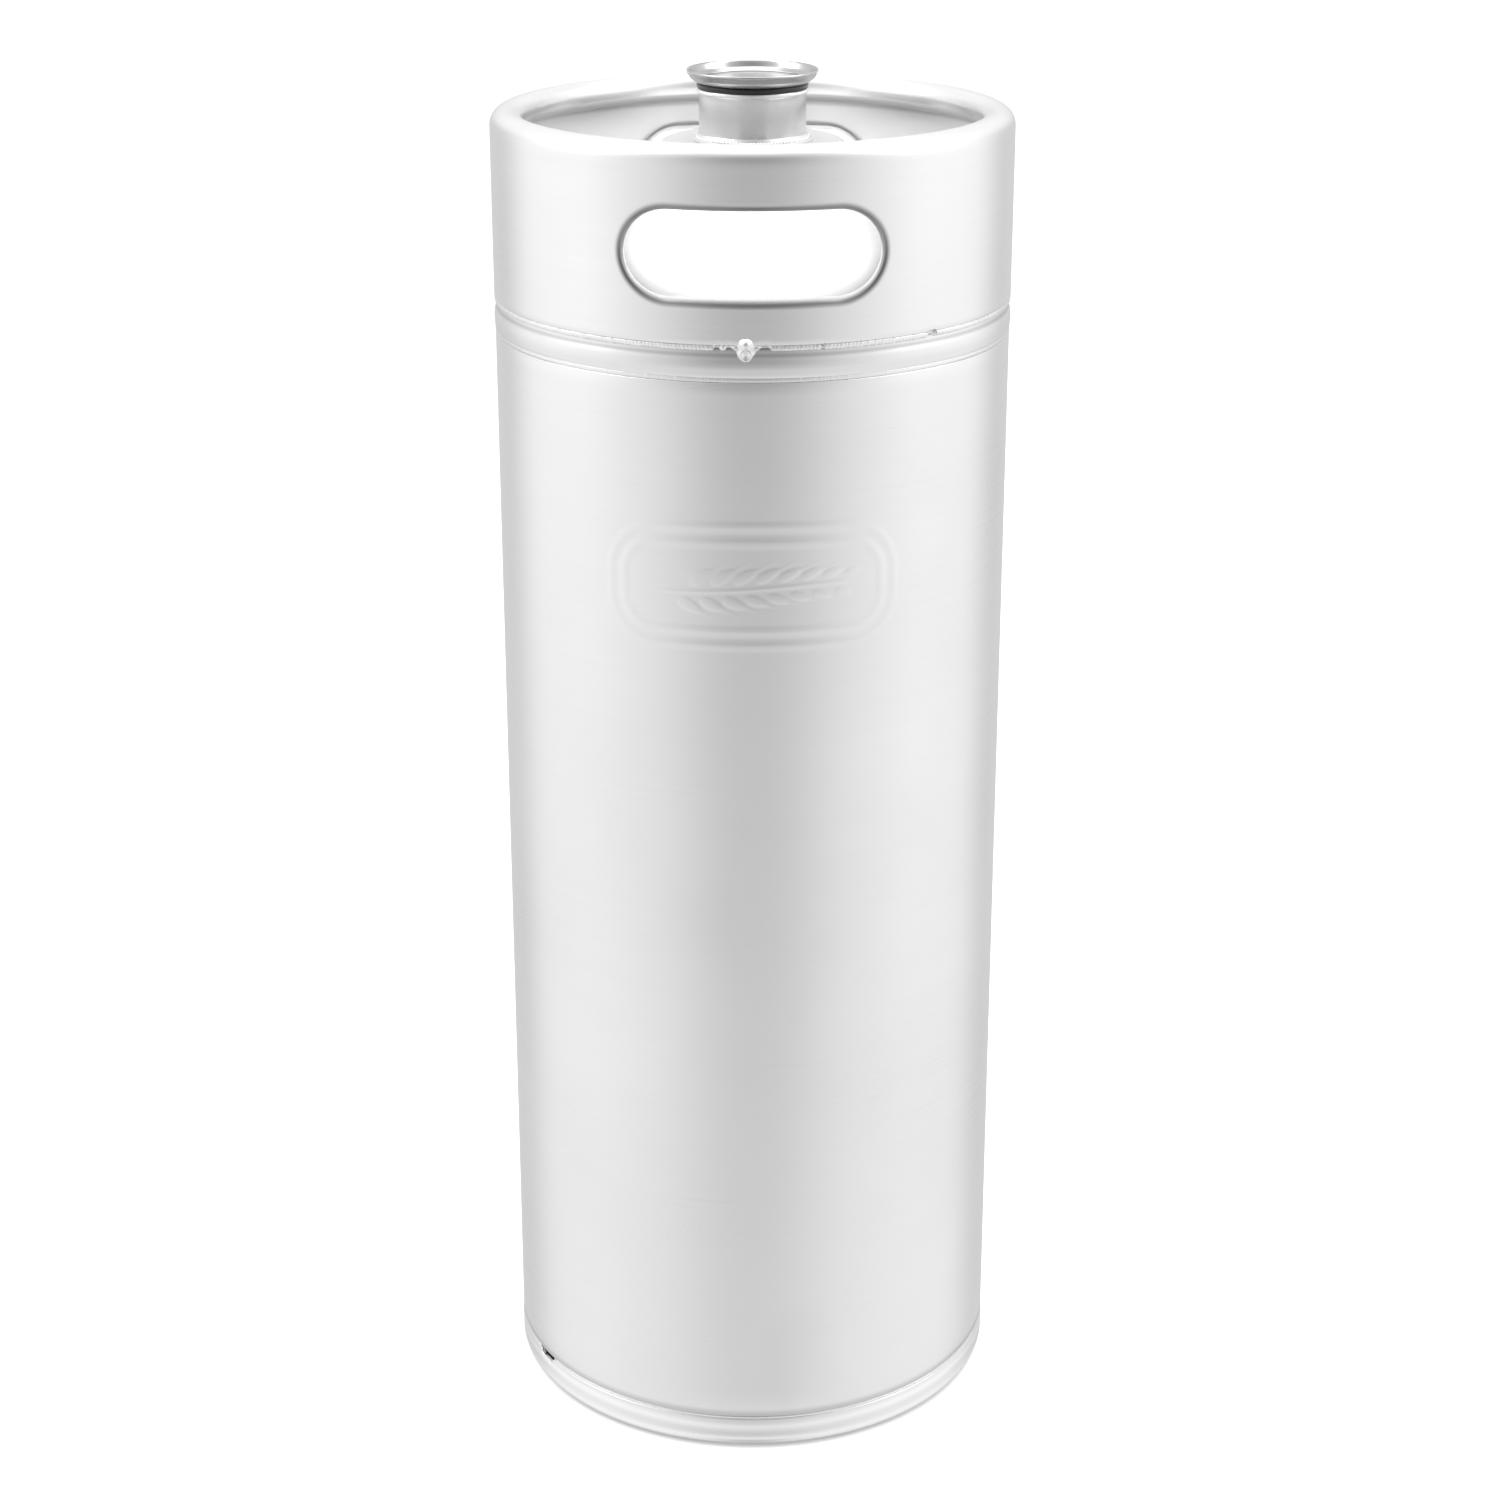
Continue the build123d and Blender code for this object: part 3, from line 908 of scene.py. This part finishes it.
def makeBottomHead():
    b = bottomHead
    path = roundedPath([(b["skirtRadius"], b["top"]), (b["skirtRadius"], b["rest"]),
                        (b["ringRadius"], b["rest"]), (b["domeRadius"], b["dome"]),
                        (0.0, b["dome"])], b["radii"], b["step"])
    inner = path + np.array([0.0, sheet])
    inward = sheet * smoothStep(b["ringRadius"], b["skirtRadius"], path[:, 0])
    inner[:, 0] = np.clip(inner[:, 0] - inward, 0, None)
    onSkirt = path[:, 0] > b["ringRadius"]
    inner[:, 1] -= sheet * smoothStep(b["rest"] + b["lap"], b["top"], path[:, 1]) * onSkirt
    section = np.concatenate([inner[::-1], path])
    return turned("bottomDome", section, evenAngles(b["columns"]), False)


def headWeldShade(m, x, y, z, colour, rough):
    # painted shade in the groove below the collar's weld and behind the weld
    height = topHead["groove"][0]
    grooveHalf, grooveShare = topHead["grooveShade"]
    weldUp, weldHalf, weldShare = topHead["weldShade"]
    groove = m.band(z, height, grooveHalf) * grooveShare
    behindWeld = m.band(z, height + weldUp, weldHalf) * weldShare
    return m.mix(m.maths("MAXIMUM", groove, behindWeld), colour, shadeSteel), rough


headSteel = pressedSteel("drawnHead", headLook, headWeldShade)
finishPiece(makeTopHead(), "keg", "drawn_head", headSteel, "top_head")
finishPiece(makeBottomHead(), "keg", "drawn_head", headSteel, "bottom_head")
print("heads made")


foot = {
    "radius": 84.0 * mm,
    "top": footHigh.z,
    "innerRadius": 75.5 * mm,
    "innerTop": 4.0 * mm,
    "radii": [4.2 * mm, 1.6 * mm],
    "beads": [(9.0 * mm, 1.6 * mm, 0.16 * mm), (4.6 * mm, 1.5 * mm, 0.14 * mm)],
    "crestHighlights": [(8.9 * mm, 2.4 * mm), (3.6 * mm, 2.2 * mm)],  # painted highlights along the bead crests: height, half width
    "highlightShare": 0.6,
    "bottomShade": (0.4 * mm, 1.9 * mm, 0.8),      # painted shade along the bottom edge: heights and share
    "step": 0.5 * mm,
    "columns": 360,
    "notchAngle": math.radians(-60.5),
    "notchHalf": 4.4 * mm,
    "notchDepth": 1.5 * mm,
    "notchEase": (1.2 * mm, 0.4 * mm),       # inside and outside the notch's end
    "notchFade": 5 * mm,
    "notchReach": (0.08, 0.3, 3.0),  # half the fine columns, how they ease off and their gain
    "returnWidth": 3 * mm,           # beads keep off the turned-up inner edge
    "edgeRadius": 0.25 * mm,
}


def makeFoot():
    f = foot
    path = roundedPath([(f["radius"], f["top"]), (f["radius"], 0.0), (f["innerRadius"], 0.0),
                        (f["innerRadius"], f["innerTop"])], f["radii"], f["step"])
    outside = path[:, 0] > f["innerRadius"] + f["returnWidth"]
    for bead in f["beads"]:
        path[outside, 0] += swell(path[outside, 1], bead)
    angles = gradedAngles(f["columns"], *f["notchReach"], (f["notchAngle"],))
    points = ringPoints(path, angles)
    across = np.abs(angles - f["notchAngle"]) * f["radius"]
    easeIn, easeOut = f["notchEase"]
    beyond = smoothStep(f["notchHalf"] - easeIn, f["notchHalf"] + easeOut, across)
    dip = f["notchDepth"] * (1 - beyond)
    fade = smoothStep(f["top"] - f["notchFade"], f["top"], points[:, :, 2])
    points[:, :, 2] -= fade * dip[None]
    obj = meshObject("footBand", points, gridFaces(len(path), len(angles), False))
    turnOutward(obj)
    wall(obj, heavySheet, f["edgeRadius"])
    return obj


def footPaintedLight(m, x, y, z, colour, rough):
    # painted highlights on two lines and painted shade along the bottom edge
    for height, half in foot["crestHighlights"]:
        colour = m.mix(m.band(z, height, half) * foot["highlightShare"], colour, paleSteel)
    low, high, share = foot["bottomShade"]
    return m.mix((1.0 - m.smooth(z, low, high)) * share, colour, shadeSteel), rough


footSteel = brushedSteel("brushedFoot", shellLook, footPaintedLight)
finishPiece(makeFoot(), "keg", "brushed_shell", footSteel, "foot_ring")
print("foot made")


neck = {
    "radius": 17.2 * mm,
    "bore": 15.6 * mm,
    "lipRadius": 17.75 * mm,
    "lipThickness": 1.3 * mm,
    "lipSlope": 0.3 * mm,
    "corners": [0.3 * mm, 0.3 * mm, 0.25 * mm, 0.15 * mm, 0.4 * mm, 0.5 * mm],
    "step": 2.0 * mm,
    "columns": 128,
}
thread = {"pitch": 3.0 * mm, "root": 1.5 * mm, "crest": 0.7 * mm, "depth": 1.0 * mm,
          "neckStart": 433.0 * mm, "neckTurns": 5.0, "plugStart": 440.5 * mm,
          "plugTurns": 8.0 / 3.0, "overlap": 0.1 * mm}
plug = {"radius": 14.3 * mm, "bore": 12.4 * mm, "lead": (0.4 * mm, 0.7 * mm),
        "corners": [0.3 * mm, 0.3 * mm, 0.3 * mm, 0.1 * mm, 0.1 * mm], "step": 2.0 * mm,
        "columns": 112}
dish = {"seatRadius": 17.9 * mm, "rimRadius": 21.0 * mm, "sheet": 0.9 * mm, "hem": 0.75 * mm,
        "shoulder": (20.1 * mm, dishLow.z + 1.5 * mm), "corners": [0.6 * mm, 0.9 * mm],
        "step": 0.5 * mm, "columns": 160}
seal = {"radius": 17.9 * mm, "bore": 14.7 * mm, "step": 1.0 * mm,
        "corners": [0.55 * mm, 0.55 * mm, 0.3 * mm, 0.3 * mm], "columns": 128}

threads = threadTree()


def ridge(name, start, turns, radius, depth, material):
    return threads.grow(name, {
        "Radius": radius, "Pitch": thread["pitch"], "Turns": turns, "Depth": depth,
        "Root": thread["root"], "Crest": thread["crest"], "Start": start, "Material": material})


def loopSection(corners, radii, step):
    # a closed section: its path ends where it began, in the middle of a straight side
    return roundedPath(corners, radii, step)[:-1]


def makeNeck():
    low, high = neckLow.z, neckHigh.z
    bore, radius, lip = neck["bore"], neck["radius"], neck["lipRadius"]
    lipLow = high - neck["lipThickness"]
    middle = (low + high) / 2
    section = loopSection(
        [(bore, middle), (bore, low), (radius, low), (radius, lipLow - neck["lipSlope"]),
         (lip, lipLow), (lip, high), (bore, high), (bore, middle)], neck["corners"], neck["step"])
    body = turned("neckTube", section, evenAngles(neck["columns"]))
    inside = ridge("neckThread", thread["neckStart"], thread["neckTurns"],
                   bore + thread["overlap"], -thread["depth"], fittingSteel)
    return joined("neckTube", [body, inside])


def makePlug():
    low, high = plugLow.z, plugHigh.z
    bore, radius = plug["bore"], plug["radius"]
    middle = (low + high) / 2
    leadIn, leadUp = plug["lead"]
    section = loopSection(
        [(bore, middle), (bore, low), (radius - leadIn, low), (radius, low + leadUp),
         (radius, high), (bore, high), (bore, middle)], plug["corners"], plug["step"])
    body = turned("capPlug", section, evenAngles(plug["columns"]))
    outside = ridge("plugThread", thread["plugStart"], thread["plugTurns"],
                    radius - thread["overlap"], thread["depth"], fittingSteel)
    return joined("capPlug", [body, outside])


def makeDish():
    low, top = dishLow.z, dishHigh.z
    d = dish
    under = roundedPath([(0.0, low), (d["seatRadius"], low), d["shoulder"],
                         (d["rimRadius"], top - d["hem"])], d["corners"], d["step"])
    along = headings(under)
    over = under + np.stack([-along[:, 1], along[:, 0]], axis=1) * d["sheet"]
    over[:, 0] = np.clip(over[:, 0], 0, None)
    roll = np.linspace(0, 1, 9)[1:-1]
    centre = (under[-1] + over[-1]) / 2
    half = under[-1] - centre
    reach = along[-1] * d["hem"]
    hem = np.array([centre + half * math.cos(math.pi * t) + reach * math.sin(math.pi * t)
                    for t in roll])
    section = np.concatenate([under, hem, over[::-1]])
    section[-1, 0] = 0.0
    return turned("capDish", section, evenAngles(d["columns"]), False)


def makeSeal():
    low, high = gasketLow.z, gasketHigh.z
    middle = (seal["bore"] + seal["radius"]) / 2
    section = loopSection([(middle, low), (seal["radius"], low), (seal["radius"], high),
                           (seal["bore"], high), (seal["bore"], low), (middle, low)],
                          seal["corners"], seal["step"])
    return turned("capSeal", section, evenAngles(seal["columns"]))


finishPiece(makeNeck(), "keg", "turned_fitting", fittingSteel, "neck")
finishPiece(makePlug(), "cap", "turned_fitting", fittingSteel, "cap_plug")
finishPiece(makeDish(), "cap", "turned_fitting", capSteel, "cap_dish")
finishPiece(makeSeal(), "seal", "seal", sealRubber, "cap_gasket")
print("neck and cap made")


beads = {  # ripples are as long, wide and high as given
    "columns": 300,
    "gappedColumns": 720,
    "gapSink": 3.0,                  # how far the root sinks in a gap, in lifts
    "head": {"proud": 0.03 * mm, "corners": [0.1 * mm, 0.4 * mm, 0.4 * mm, 0.1 * mm],
             "step": 0.4 * mm, "spots": 480, "seed": 3,
             "ripple": {"length": 0.9 * mm, "width": 0.6 * mm, "rise": 0.05 * mm}},
    "collar": {"up": 1.1 * mm, "back": 1.2 * mm, "face": 0.1 * mm, "sunk": 0.03 * mm,
               "corners": [0.1 * mm, 0.8 * mm, 0.5 * mm, 0.1 * mm],
               "step": 0.4 * mm, "spots": 420, "seed": 5,
               "ripple": {"length": 1.0 * mm, "width": 0.75 * mm, "rise": 0.1 * mm}},
    "foot": {"sunk": 0.06 * mm, "corners": [0.1 * mm, 0.3 * mm, 0.3 * mm, 0.1 * mm],
             "step": 0.6 * mm, "notchRoom": 1.0 * mm, "columns": 320},
    "neck": {"lap": 0.05 * mm, "hollow": 0.34, "step": 0.4 * mm, "spots": 96, "seed": 7,
             "corners": [0.05 * mm, 0.05 * mm, 1.6 * mm, 0.05 * mm],
             "ripple": {"length": 0.8 * mm, "width": 0.62 * mm, "rise": 0.5 * mm}},
}
seam = {
    "rowLength": 2.5 * mm,
    "wander": [(0.18 * mm, 13 * mm), (0.1 * mm, 4.1 * mm)],      # sway and its length
    "depth": 0.3 * mm,
    "barrel": (math.pi, bodyRadius, 1.5 * mm, 0.16 * mm),        # angle, radius, half, rise
    "collar": (math.radians(118.0), collar["radius"], 1.2 * mm, 0.12 * mm),
}
ripples = rippleTree()


def spotRing(radius, height, count, gaps=()):
    # evenly spaced spots round the keg, left out over the gaps
    angles = evenAngles(count)
    for at, half, _ in gaps:
        angles = angles[np.abs(angles - at) > half]
    spots = bpy.data.meshes.new("spots")
    ring = ringPoints(np.array([[radius, height]]), angles)
    spots.from_pydata(ring.reshape(-1, 3).tolist(), [], [])
    return spots


def weldRing(name, section, spots, ripple, seed, gaps=()):
    # a smooth root ring, pulled in over the gaps, with ripples laid on it
    angles = evenAngles(beads["gappedColumns"] if gaps else beads["columns"])
    points = ringPoints(section, angles)
    sink = np.zeros_like(angles)
    for at, half, lift in gaps:
        away = smoothStep(half * 0.6, half * 1.1, np.abs(angles - at))
        sink = np.maximum(sink, beads["gapSink"] * lift * (1 - away))
    points[:, :, :2] *= (1 - sink / bodyRadius)[None, :, None]
    root = meshObject(name, points, gridFaces(len(section), len(angles), True))
    laid = ripples.grow(name + "Ripples", {
        "Length": ripple["length"], "Width": ripple["width"], "Rise": ripple["rise"], "Seed": seed,
        "Material": weldMetal}, spots)
    return joined(name, [root, laid])


def bandSection(inner, outer, low, high, bead):
    middle = (low + high) / 2
    return loopSection([(inner, middle), (inner, low), (outer, low), (outer, high), (inner, high),
                        (inner, middle)], bead["corners"], bead["step"])


def makeHeadWeld():
    b = beads["head"]
    low, high = (c.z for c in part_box("head_weld"))
    outer = bodyRadius + b["proud"]
    section = bandSection(bodyRadius - sheet, outer, low, high, b)
    spots = spotRing(outer, (low + high) / 2, b["spots"])
    return weldRing("girthWeld", section, spots, b["ripple"], b["seed"])


def makeCollarWeld():
    b = beads["collar"]
    low, high = (c.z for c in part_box("collar_weld"))
    low += b["up"]
    face = collar["radius"] - b["face"]
    section = bandSection(bodyRadius - b["back"], face, low, high, b)
    spots = spotRing(face - b["sunk"], (low + high) / 2, b["spots"], weldGaps)
    return weldRing("collarWeldBead", section, spots, b["ripple"], b["seed"], weldGaps)


def makeFootWeld():
    b = beads["foot"]
    low, high = (c.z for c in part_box("foot_weld"))
    section = bandSection(bodyRadius - sheet, bodyRadius - b["sunk"], low, high, b)
    gap = (foot["notchHalf"] + b["notchRoom"]) / bodyRadius
    angles = foot["notchAngle"] + np.linspace(gap, 2 * math.pi - gap, b["columns"])
    points = ringPoints(section, angles)
    middlePoints = points.mean(axis=0, keepdims=True)
    ends = np.broadcast_to(middlePoints, points.shape)[:, [0, -1]]
    points = np.concatenate([ends[:, :1], points, ends[:, 1:]], axis=1)
    rows, columns = points.shape[:2]
    keep = np.ones((rows, columns), bool)
    keep[:, -1] = False
    return meshObject("footWeldBead", points, gridFaces(rows, columns, True, keep))


def makeNeckWeld():
    b = beads["neck"]
    low, high = (c.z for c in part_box("neck_weld"))
    inner, leg = neck["radius"] + b["lap"], high - low
    hollow = inner + leg * b["hollow"], low + leg * b["hollow"]
    section = loopSection([(inner, low + leg / 2), (inner, low), (inner + leg, low), hollow,
                           (inner, high), (inner, low + leg / 2)], b["corners"], b["step"])
    spots = spotRing(hollow[0], hollow[1], b["spots"])
    return weldRing("neckWeldBead", section, spots, b["ripple"], b["seed"])


def seamStrip(name, node, angle, radius, half, rise):
    # a narrow raised strip up the wall, slightly wandering
    low, high = (c.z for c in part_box(node))
    heights = np.linspace(low, high, max(12, int((high - low) / seam["rowLength"])))
    across = np.linspace(-1, 1, 9)
    points = []
    under = radius - seam["depth"]
    for z in heights:
        wander = sum(sway * math.sin(z / length) for sway, length in seam["wander"])
        a = angle + (across * half + wander) / radius
        proud = radius + rise * (1 - across ** 2)
        front = np.stack([proud * np.sin(a), -proud * np.cos(a), np.full_like(a, z)], axis=1)
        back = np.stack([under * np.sin(a), -under * np.cos(a), np.full_like(a, z)], axis=1)
        points.append(np.concatenate([front, back[::-1]]))
    points = np.array(points)
    caps = np.broadcast_to(points.mean(axis=1, keepdims=True), points.shape)[[0, -1]]
    points = np.concatenate([caps[:1], points, caps[1:]])
    return meshObject(name, points, gridFaces(points.shape[0], points.shape[1], False))


tack = {
    "radius": 3.1 * mm,
    "tall": 4.0 * mm,
    "blob": (1.6 * mm, 1.9 * mm, 1.5 * mm),                      # height, size and rise
    "crater": (-2.0 * mm, 1.7 * mm, 0.8 * mm, 0.7 * mm),         # and its ring's width and rise
    "root": 0.3 * mm,
    "skirt": 1.2 * mm,
    "sunk": 0.15 * mm,
    "turn": math.radians(-91.4),
    "count": 3,
    "seed": 11,
}


def tackBlob():
    # one tack weld lying on the YZ plane: a round blob with a ringed crater below it
    radii = np.linspace(0, 1, 22)[:, None]
    angles = evenAngles(48)[None]
    edge = 1 + 0.05 * np.sin(3 * angles + 0.6) + 0.03 * np.sin(5 * angles + 2.0)
    across = radii * edge * np.cos(angles) * tack["radius"]
    up = radii * edge * np.sin(angles) * tack["tall"]
    blobAt, blobSize, blobRise = tack["blob"]
    pitAt, ringSize, ringWidth, ringRise = tack["crater"]
    fromBlob = (across / blobSize) ** 2 + ((up - blobAt) / blobSize) ** 2
    height = blobRise * np.exp(-fromBlob ** 1.3)
    fromPit = np.hypot(across, up - pitAt)
    height = np.maximum(height, ringRise * np.exp(-((fromPit - ringSize) / ringWidth) ** 2))
    height = height * (1 - radii ** 6) - tack["root"] * radii ** 6
    points = np.stack([height, across, up], axis=2)
    skirt = points[-1:] * np.array([0, 0.9, 0.9]) + np.array([-tack["skirt"], 0, 0])
    middle = np.broadcast_to(skirt.mean(axis=1, keepdims=True), skirt.shape)
    points = np.concatenate([points, skirt, middle])
    return meshObject("tackBlob", points, gridFaces(points.shape[0], points.shape[1], False))


def tackTree():
    # copies of one blob, evenly spaced round a circle and turned to face outwards
    g = Growth("tackRow", {"Radius": "Float", "Height": "Float", "Count": "Int", "Turn": "Float",
                           "Seed": "Int", "Material": "Material"})
    ring = g.node("GeometryNodeMeshCircle", {"fill_type": "NONE"},
                  {"Vertices": g.given("Count"), "Radius": g.given("Radius")})
    lift = g.node("ShaderNodeCombineXYZ", inputs={"Z": g.given("Height")})
    spin = g.node("ShaderNodeCombineXYZ", inputs={"Z": g.given("Turn")})
    raised = g.node("GeometryNodeTransform",
                    inputs={"Geometry": ring, "Translation": lift, "Rotation": spin})
    uneven = g.node("FunctionNodeRandomValue", {"data_type": "FLOAT"},
                    {2: 0.92, 3: 1.04, "Seed": g.given("Seed")}, out=1)
    g.close(g.node("GeometryNodeInstanceOnPoints", inputs={
        "Points": raised, "Instance": g.given("Geometry"), "Rotation": facingOut(g),
        "Scale": uneven}))
    return g


def makeTacks():
    low, high = (c.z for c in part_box("collar_tack_welds"))
    blob = tackBlob()
    mesh = blob.data
    bpy.data.objects.remove(blob)
    return tackTree().grow("tackWelds", {
        "Radius": collar["radius"] - tack["sunk"], "Height": (low + high) / 2,
        "Count": tack["count"], "Turn": tack["turn"], "Seed": tack["seed"],
        "Material": weldMetal}, mesh)


finishPiece(makeHeadWeld(), "keg", "weld_bead", shellSteel, "head_weld")
finishPiece(makeCollarWeld(), "keg", "weld_bead", weldMetal, "collar_weld")
finishPiece(makeFootWeld(), "keg", "weld_bead", weldMetal, "foot_weld")
finishPiece(makeNeckWeld(), "keg", "weld_bead", weldMetal, "neck_weld")
finishPiece(seamStrip("barrelSeam", "barrel_seam_weld", *seam["barrel"]),
            "keg", "weld_bead", weldMetal, "barrel_seam_weld")
finishPiece(seamStrip("collarSeam", "collar_seam_weld", *seam["collar"]),
            "keg", "weld_bead", weldMetal, "collar_seam_weld")
finishPiece(makeTacks(), "keg", "weld_bead", weldMetal, "collar_tack_welds")
print("welds made")


studio = {
    "floorSize": 14.0,
    "floorTone": 0.92,
    "floorMottle": 0.02,
    "floorGlow": 0.25,
    "room": 1.02,
    "frontNarrow": (3.0, 50.0),      # the room is darker towards the viewer, in degrees
    "frontWide": (2.0, 68.0),
    "narrowDip": 0.20,
    "nearCut": 1.2,                  # the share of that dip that goes low down
    "nearLift": (-46.0, -28.0),      # lifts are in degrees above the horizon
    "levelDip": 0.36,
    "levelLift": (-17.5, -12.8),
    "upperDip": 0.10,
    "upperLift": (-8.0, 12.0),
    "highLift": (36.0, 74.0),
    "underDip": 0.62,
    "underLift": (-70.0, -50.0),
    "sideRange": (44.0, 84.0, 108.0, 142.0),
    "sideGlow": 0.18,
    "sideLow": 0.03,
    "rearDip": 0.28,
    "rearLift": (0.0, 20.0),
    "zenithGlow": 0.36,
    "zenithLean": 0.12,
    "zenithRange": (0.84, 0.985),
    "rightDip": 0.30,
    "rightRange": (0.05, 0.5),
    "rightLift": (35.0, 60.0),
}
cards = [  # name, azimuth from the front, elevation, distance, size and power
    ("leftCard", -86.0, 48.0, 1.5, (0.8, 1.2), 8.0),
    ("rightCard", 86.0, 48.0, 1.5, (0.8, 1.2), 8.0),
    ("topCard", 170.0, 76.0, 2.0, (1.4, 1.4), 8.0),
]
cardAim = 0.55                       # share of the keg's height
cameraPlace = {"distance": 0.9899, "height": 0.5898, "pitch": 20.2, "lens": 73.38,
               "side": -0.0008, "reach": 50.0}


def makeFloor():
    half = studio["floorSize"] / 2
    points = np.array([[-half, -half, 0], [half, -half, 0], [half, half, 0], [-half, half, 0]])
    floor = meshObject("studioFloor", points, np.array([[0, 1, 2, 3]]))
    m = Finish("paleFloor")
    x, y, z = m.place()
    mottle = m.noise(m.vector(x, y, z), 3.0, 2.0, 0.5)
    tone = studio["floorTone"]
    colour = m.mix(mottle, grey(tone), grey(tone + studio["floorMottle"]))
    floor.data.materials.append(m.done(
        Base_Color=colour, Roughness=0.9, Metallic=0.0,
        Emission_Color=grey(1.0), Emission_Strength=studio["floorGlow"]))
    floor.visible_glossy = False         # the steel mirrors the soft room instead


def makeSky():
    # a soft white room, darker towards the viewer
    world = bpy.data.worlds.new("studio")
    bpy.context.scene.world = world
    world.use_nodes = True
    m = Shader(world.node_tree)
    split = m.tree.nodes.new("ShaderNodeSeparateXYZ")
    m.feed(split.inputs[0], m.node("TexCoord", out=0))
    x, y, z = [Wire(m, s) for s in split.outputs]
    turn = abs(m.maths("ARCTAN2", x, y * -1.0)) * math.degrees(1)
    lift = m.maths("ARCSINE", z) * math.degrees(1)
    r = studio
    narrow = 1.0 - m.smooth(turn, *r["frontNarrow"])
    wide = 1.0 - m.smooth(turn, *r["frontWide"])
    level = m.smooth(lift, *r["levelLift"])
    upper = m.smooth(lift, *r["upperLift"])
    high = m.smooth(lift, *r["highLift"])
    near = 1.0 - m.smooth(lift, *r["nearLift"])
    under = 1.0 - m.smooth(lift, *r["underLift"])
    dip = (narrow * (r["narrowDip"] * (1.0 - near * r["nearCut"]) + upper * r["upperDip"])
           + wide * (level * r["levelDip"] + under * r["underDip"])) * (1.0 - high)
    rise0, rise1, fall0, fall1 = r["sideRange"]
    side = m.smooth(turn, rise0, rise1) * (1.0 - m.smooth(turn, fall0, fall1))
    rear = m.smooth(turn, fall0, fall1) * (1.0 - m.smooth(lift, *r["rearLift"]))
    zenith = m.smooth(z - x * r["zenithLean"], *r["zenithRange"])
    right = m.smooth(x, *r["rightRange"]) * m.smooth(lift, *r["rightLift"])
    glow = (r["room"] - dip + side * (level * r["sideGlow"] + r["sideLow"])
            - rear * r["rearDip"] + zenith * r["zenithGlow"] - right * r["rightDip"])
    seen = m.node("LightPath")       # the room itself looks plain white
    glow = glow * (1.0 - seen) + seen
    background = m.tree.nodes["Background"]
    m.feed(background.inputs["Strength"], glow)
    background.inputs["Color"].default_value = grey(1.0)


def softCard(name, azimuth, elevation, distance, size, power):
    light = bpy.data.lights.new(name, "AREA")
    light.shape, light.size, light.size_y = "RECTANGLE", size[0], size[1]
    light.energy = power
    card = bpy.data.objects.new(name, light)
    bpy.context.scene.collection.objects.link(card)
    a, e = math.radians(azimuth), math.radians(elevation)
    back = Vector((math.sin(a) * math.cos(e), -math.cos(a) * math.cos(e), math.sin(e)))
    card.location = Vector((0.0, 0.0, cadBox[1][2] * cardAim)) + back * distance
    card.rotation_mode = "QUATERNION"
    card.rotation_quaternion = back.to_track_quat("Z", "Y")


makeFloor()
makeSky()
for card in cards:
    softCard(*card)

camera = bpy.data.objects.new("camera", bpy.data.cameras.new("camera"))
bpy.context.scene.collection.objects.link(camera)
camera.data.lens = cameraPlace["lens"]
camera.data.clip_end = cameraPlace["reach"]
camera.location = (cameraPlace["side"], -cameraPlace["distance"], cameraPlace["height"])
camera.rotation_euler = (math.radians(90.0 - cameraPlace["pitch"]), 0.0, 0.0)
bpy.context.scene.camera = camera
bpy.context.scene.view_settings.view_transform = "Standard"
print("stage set")
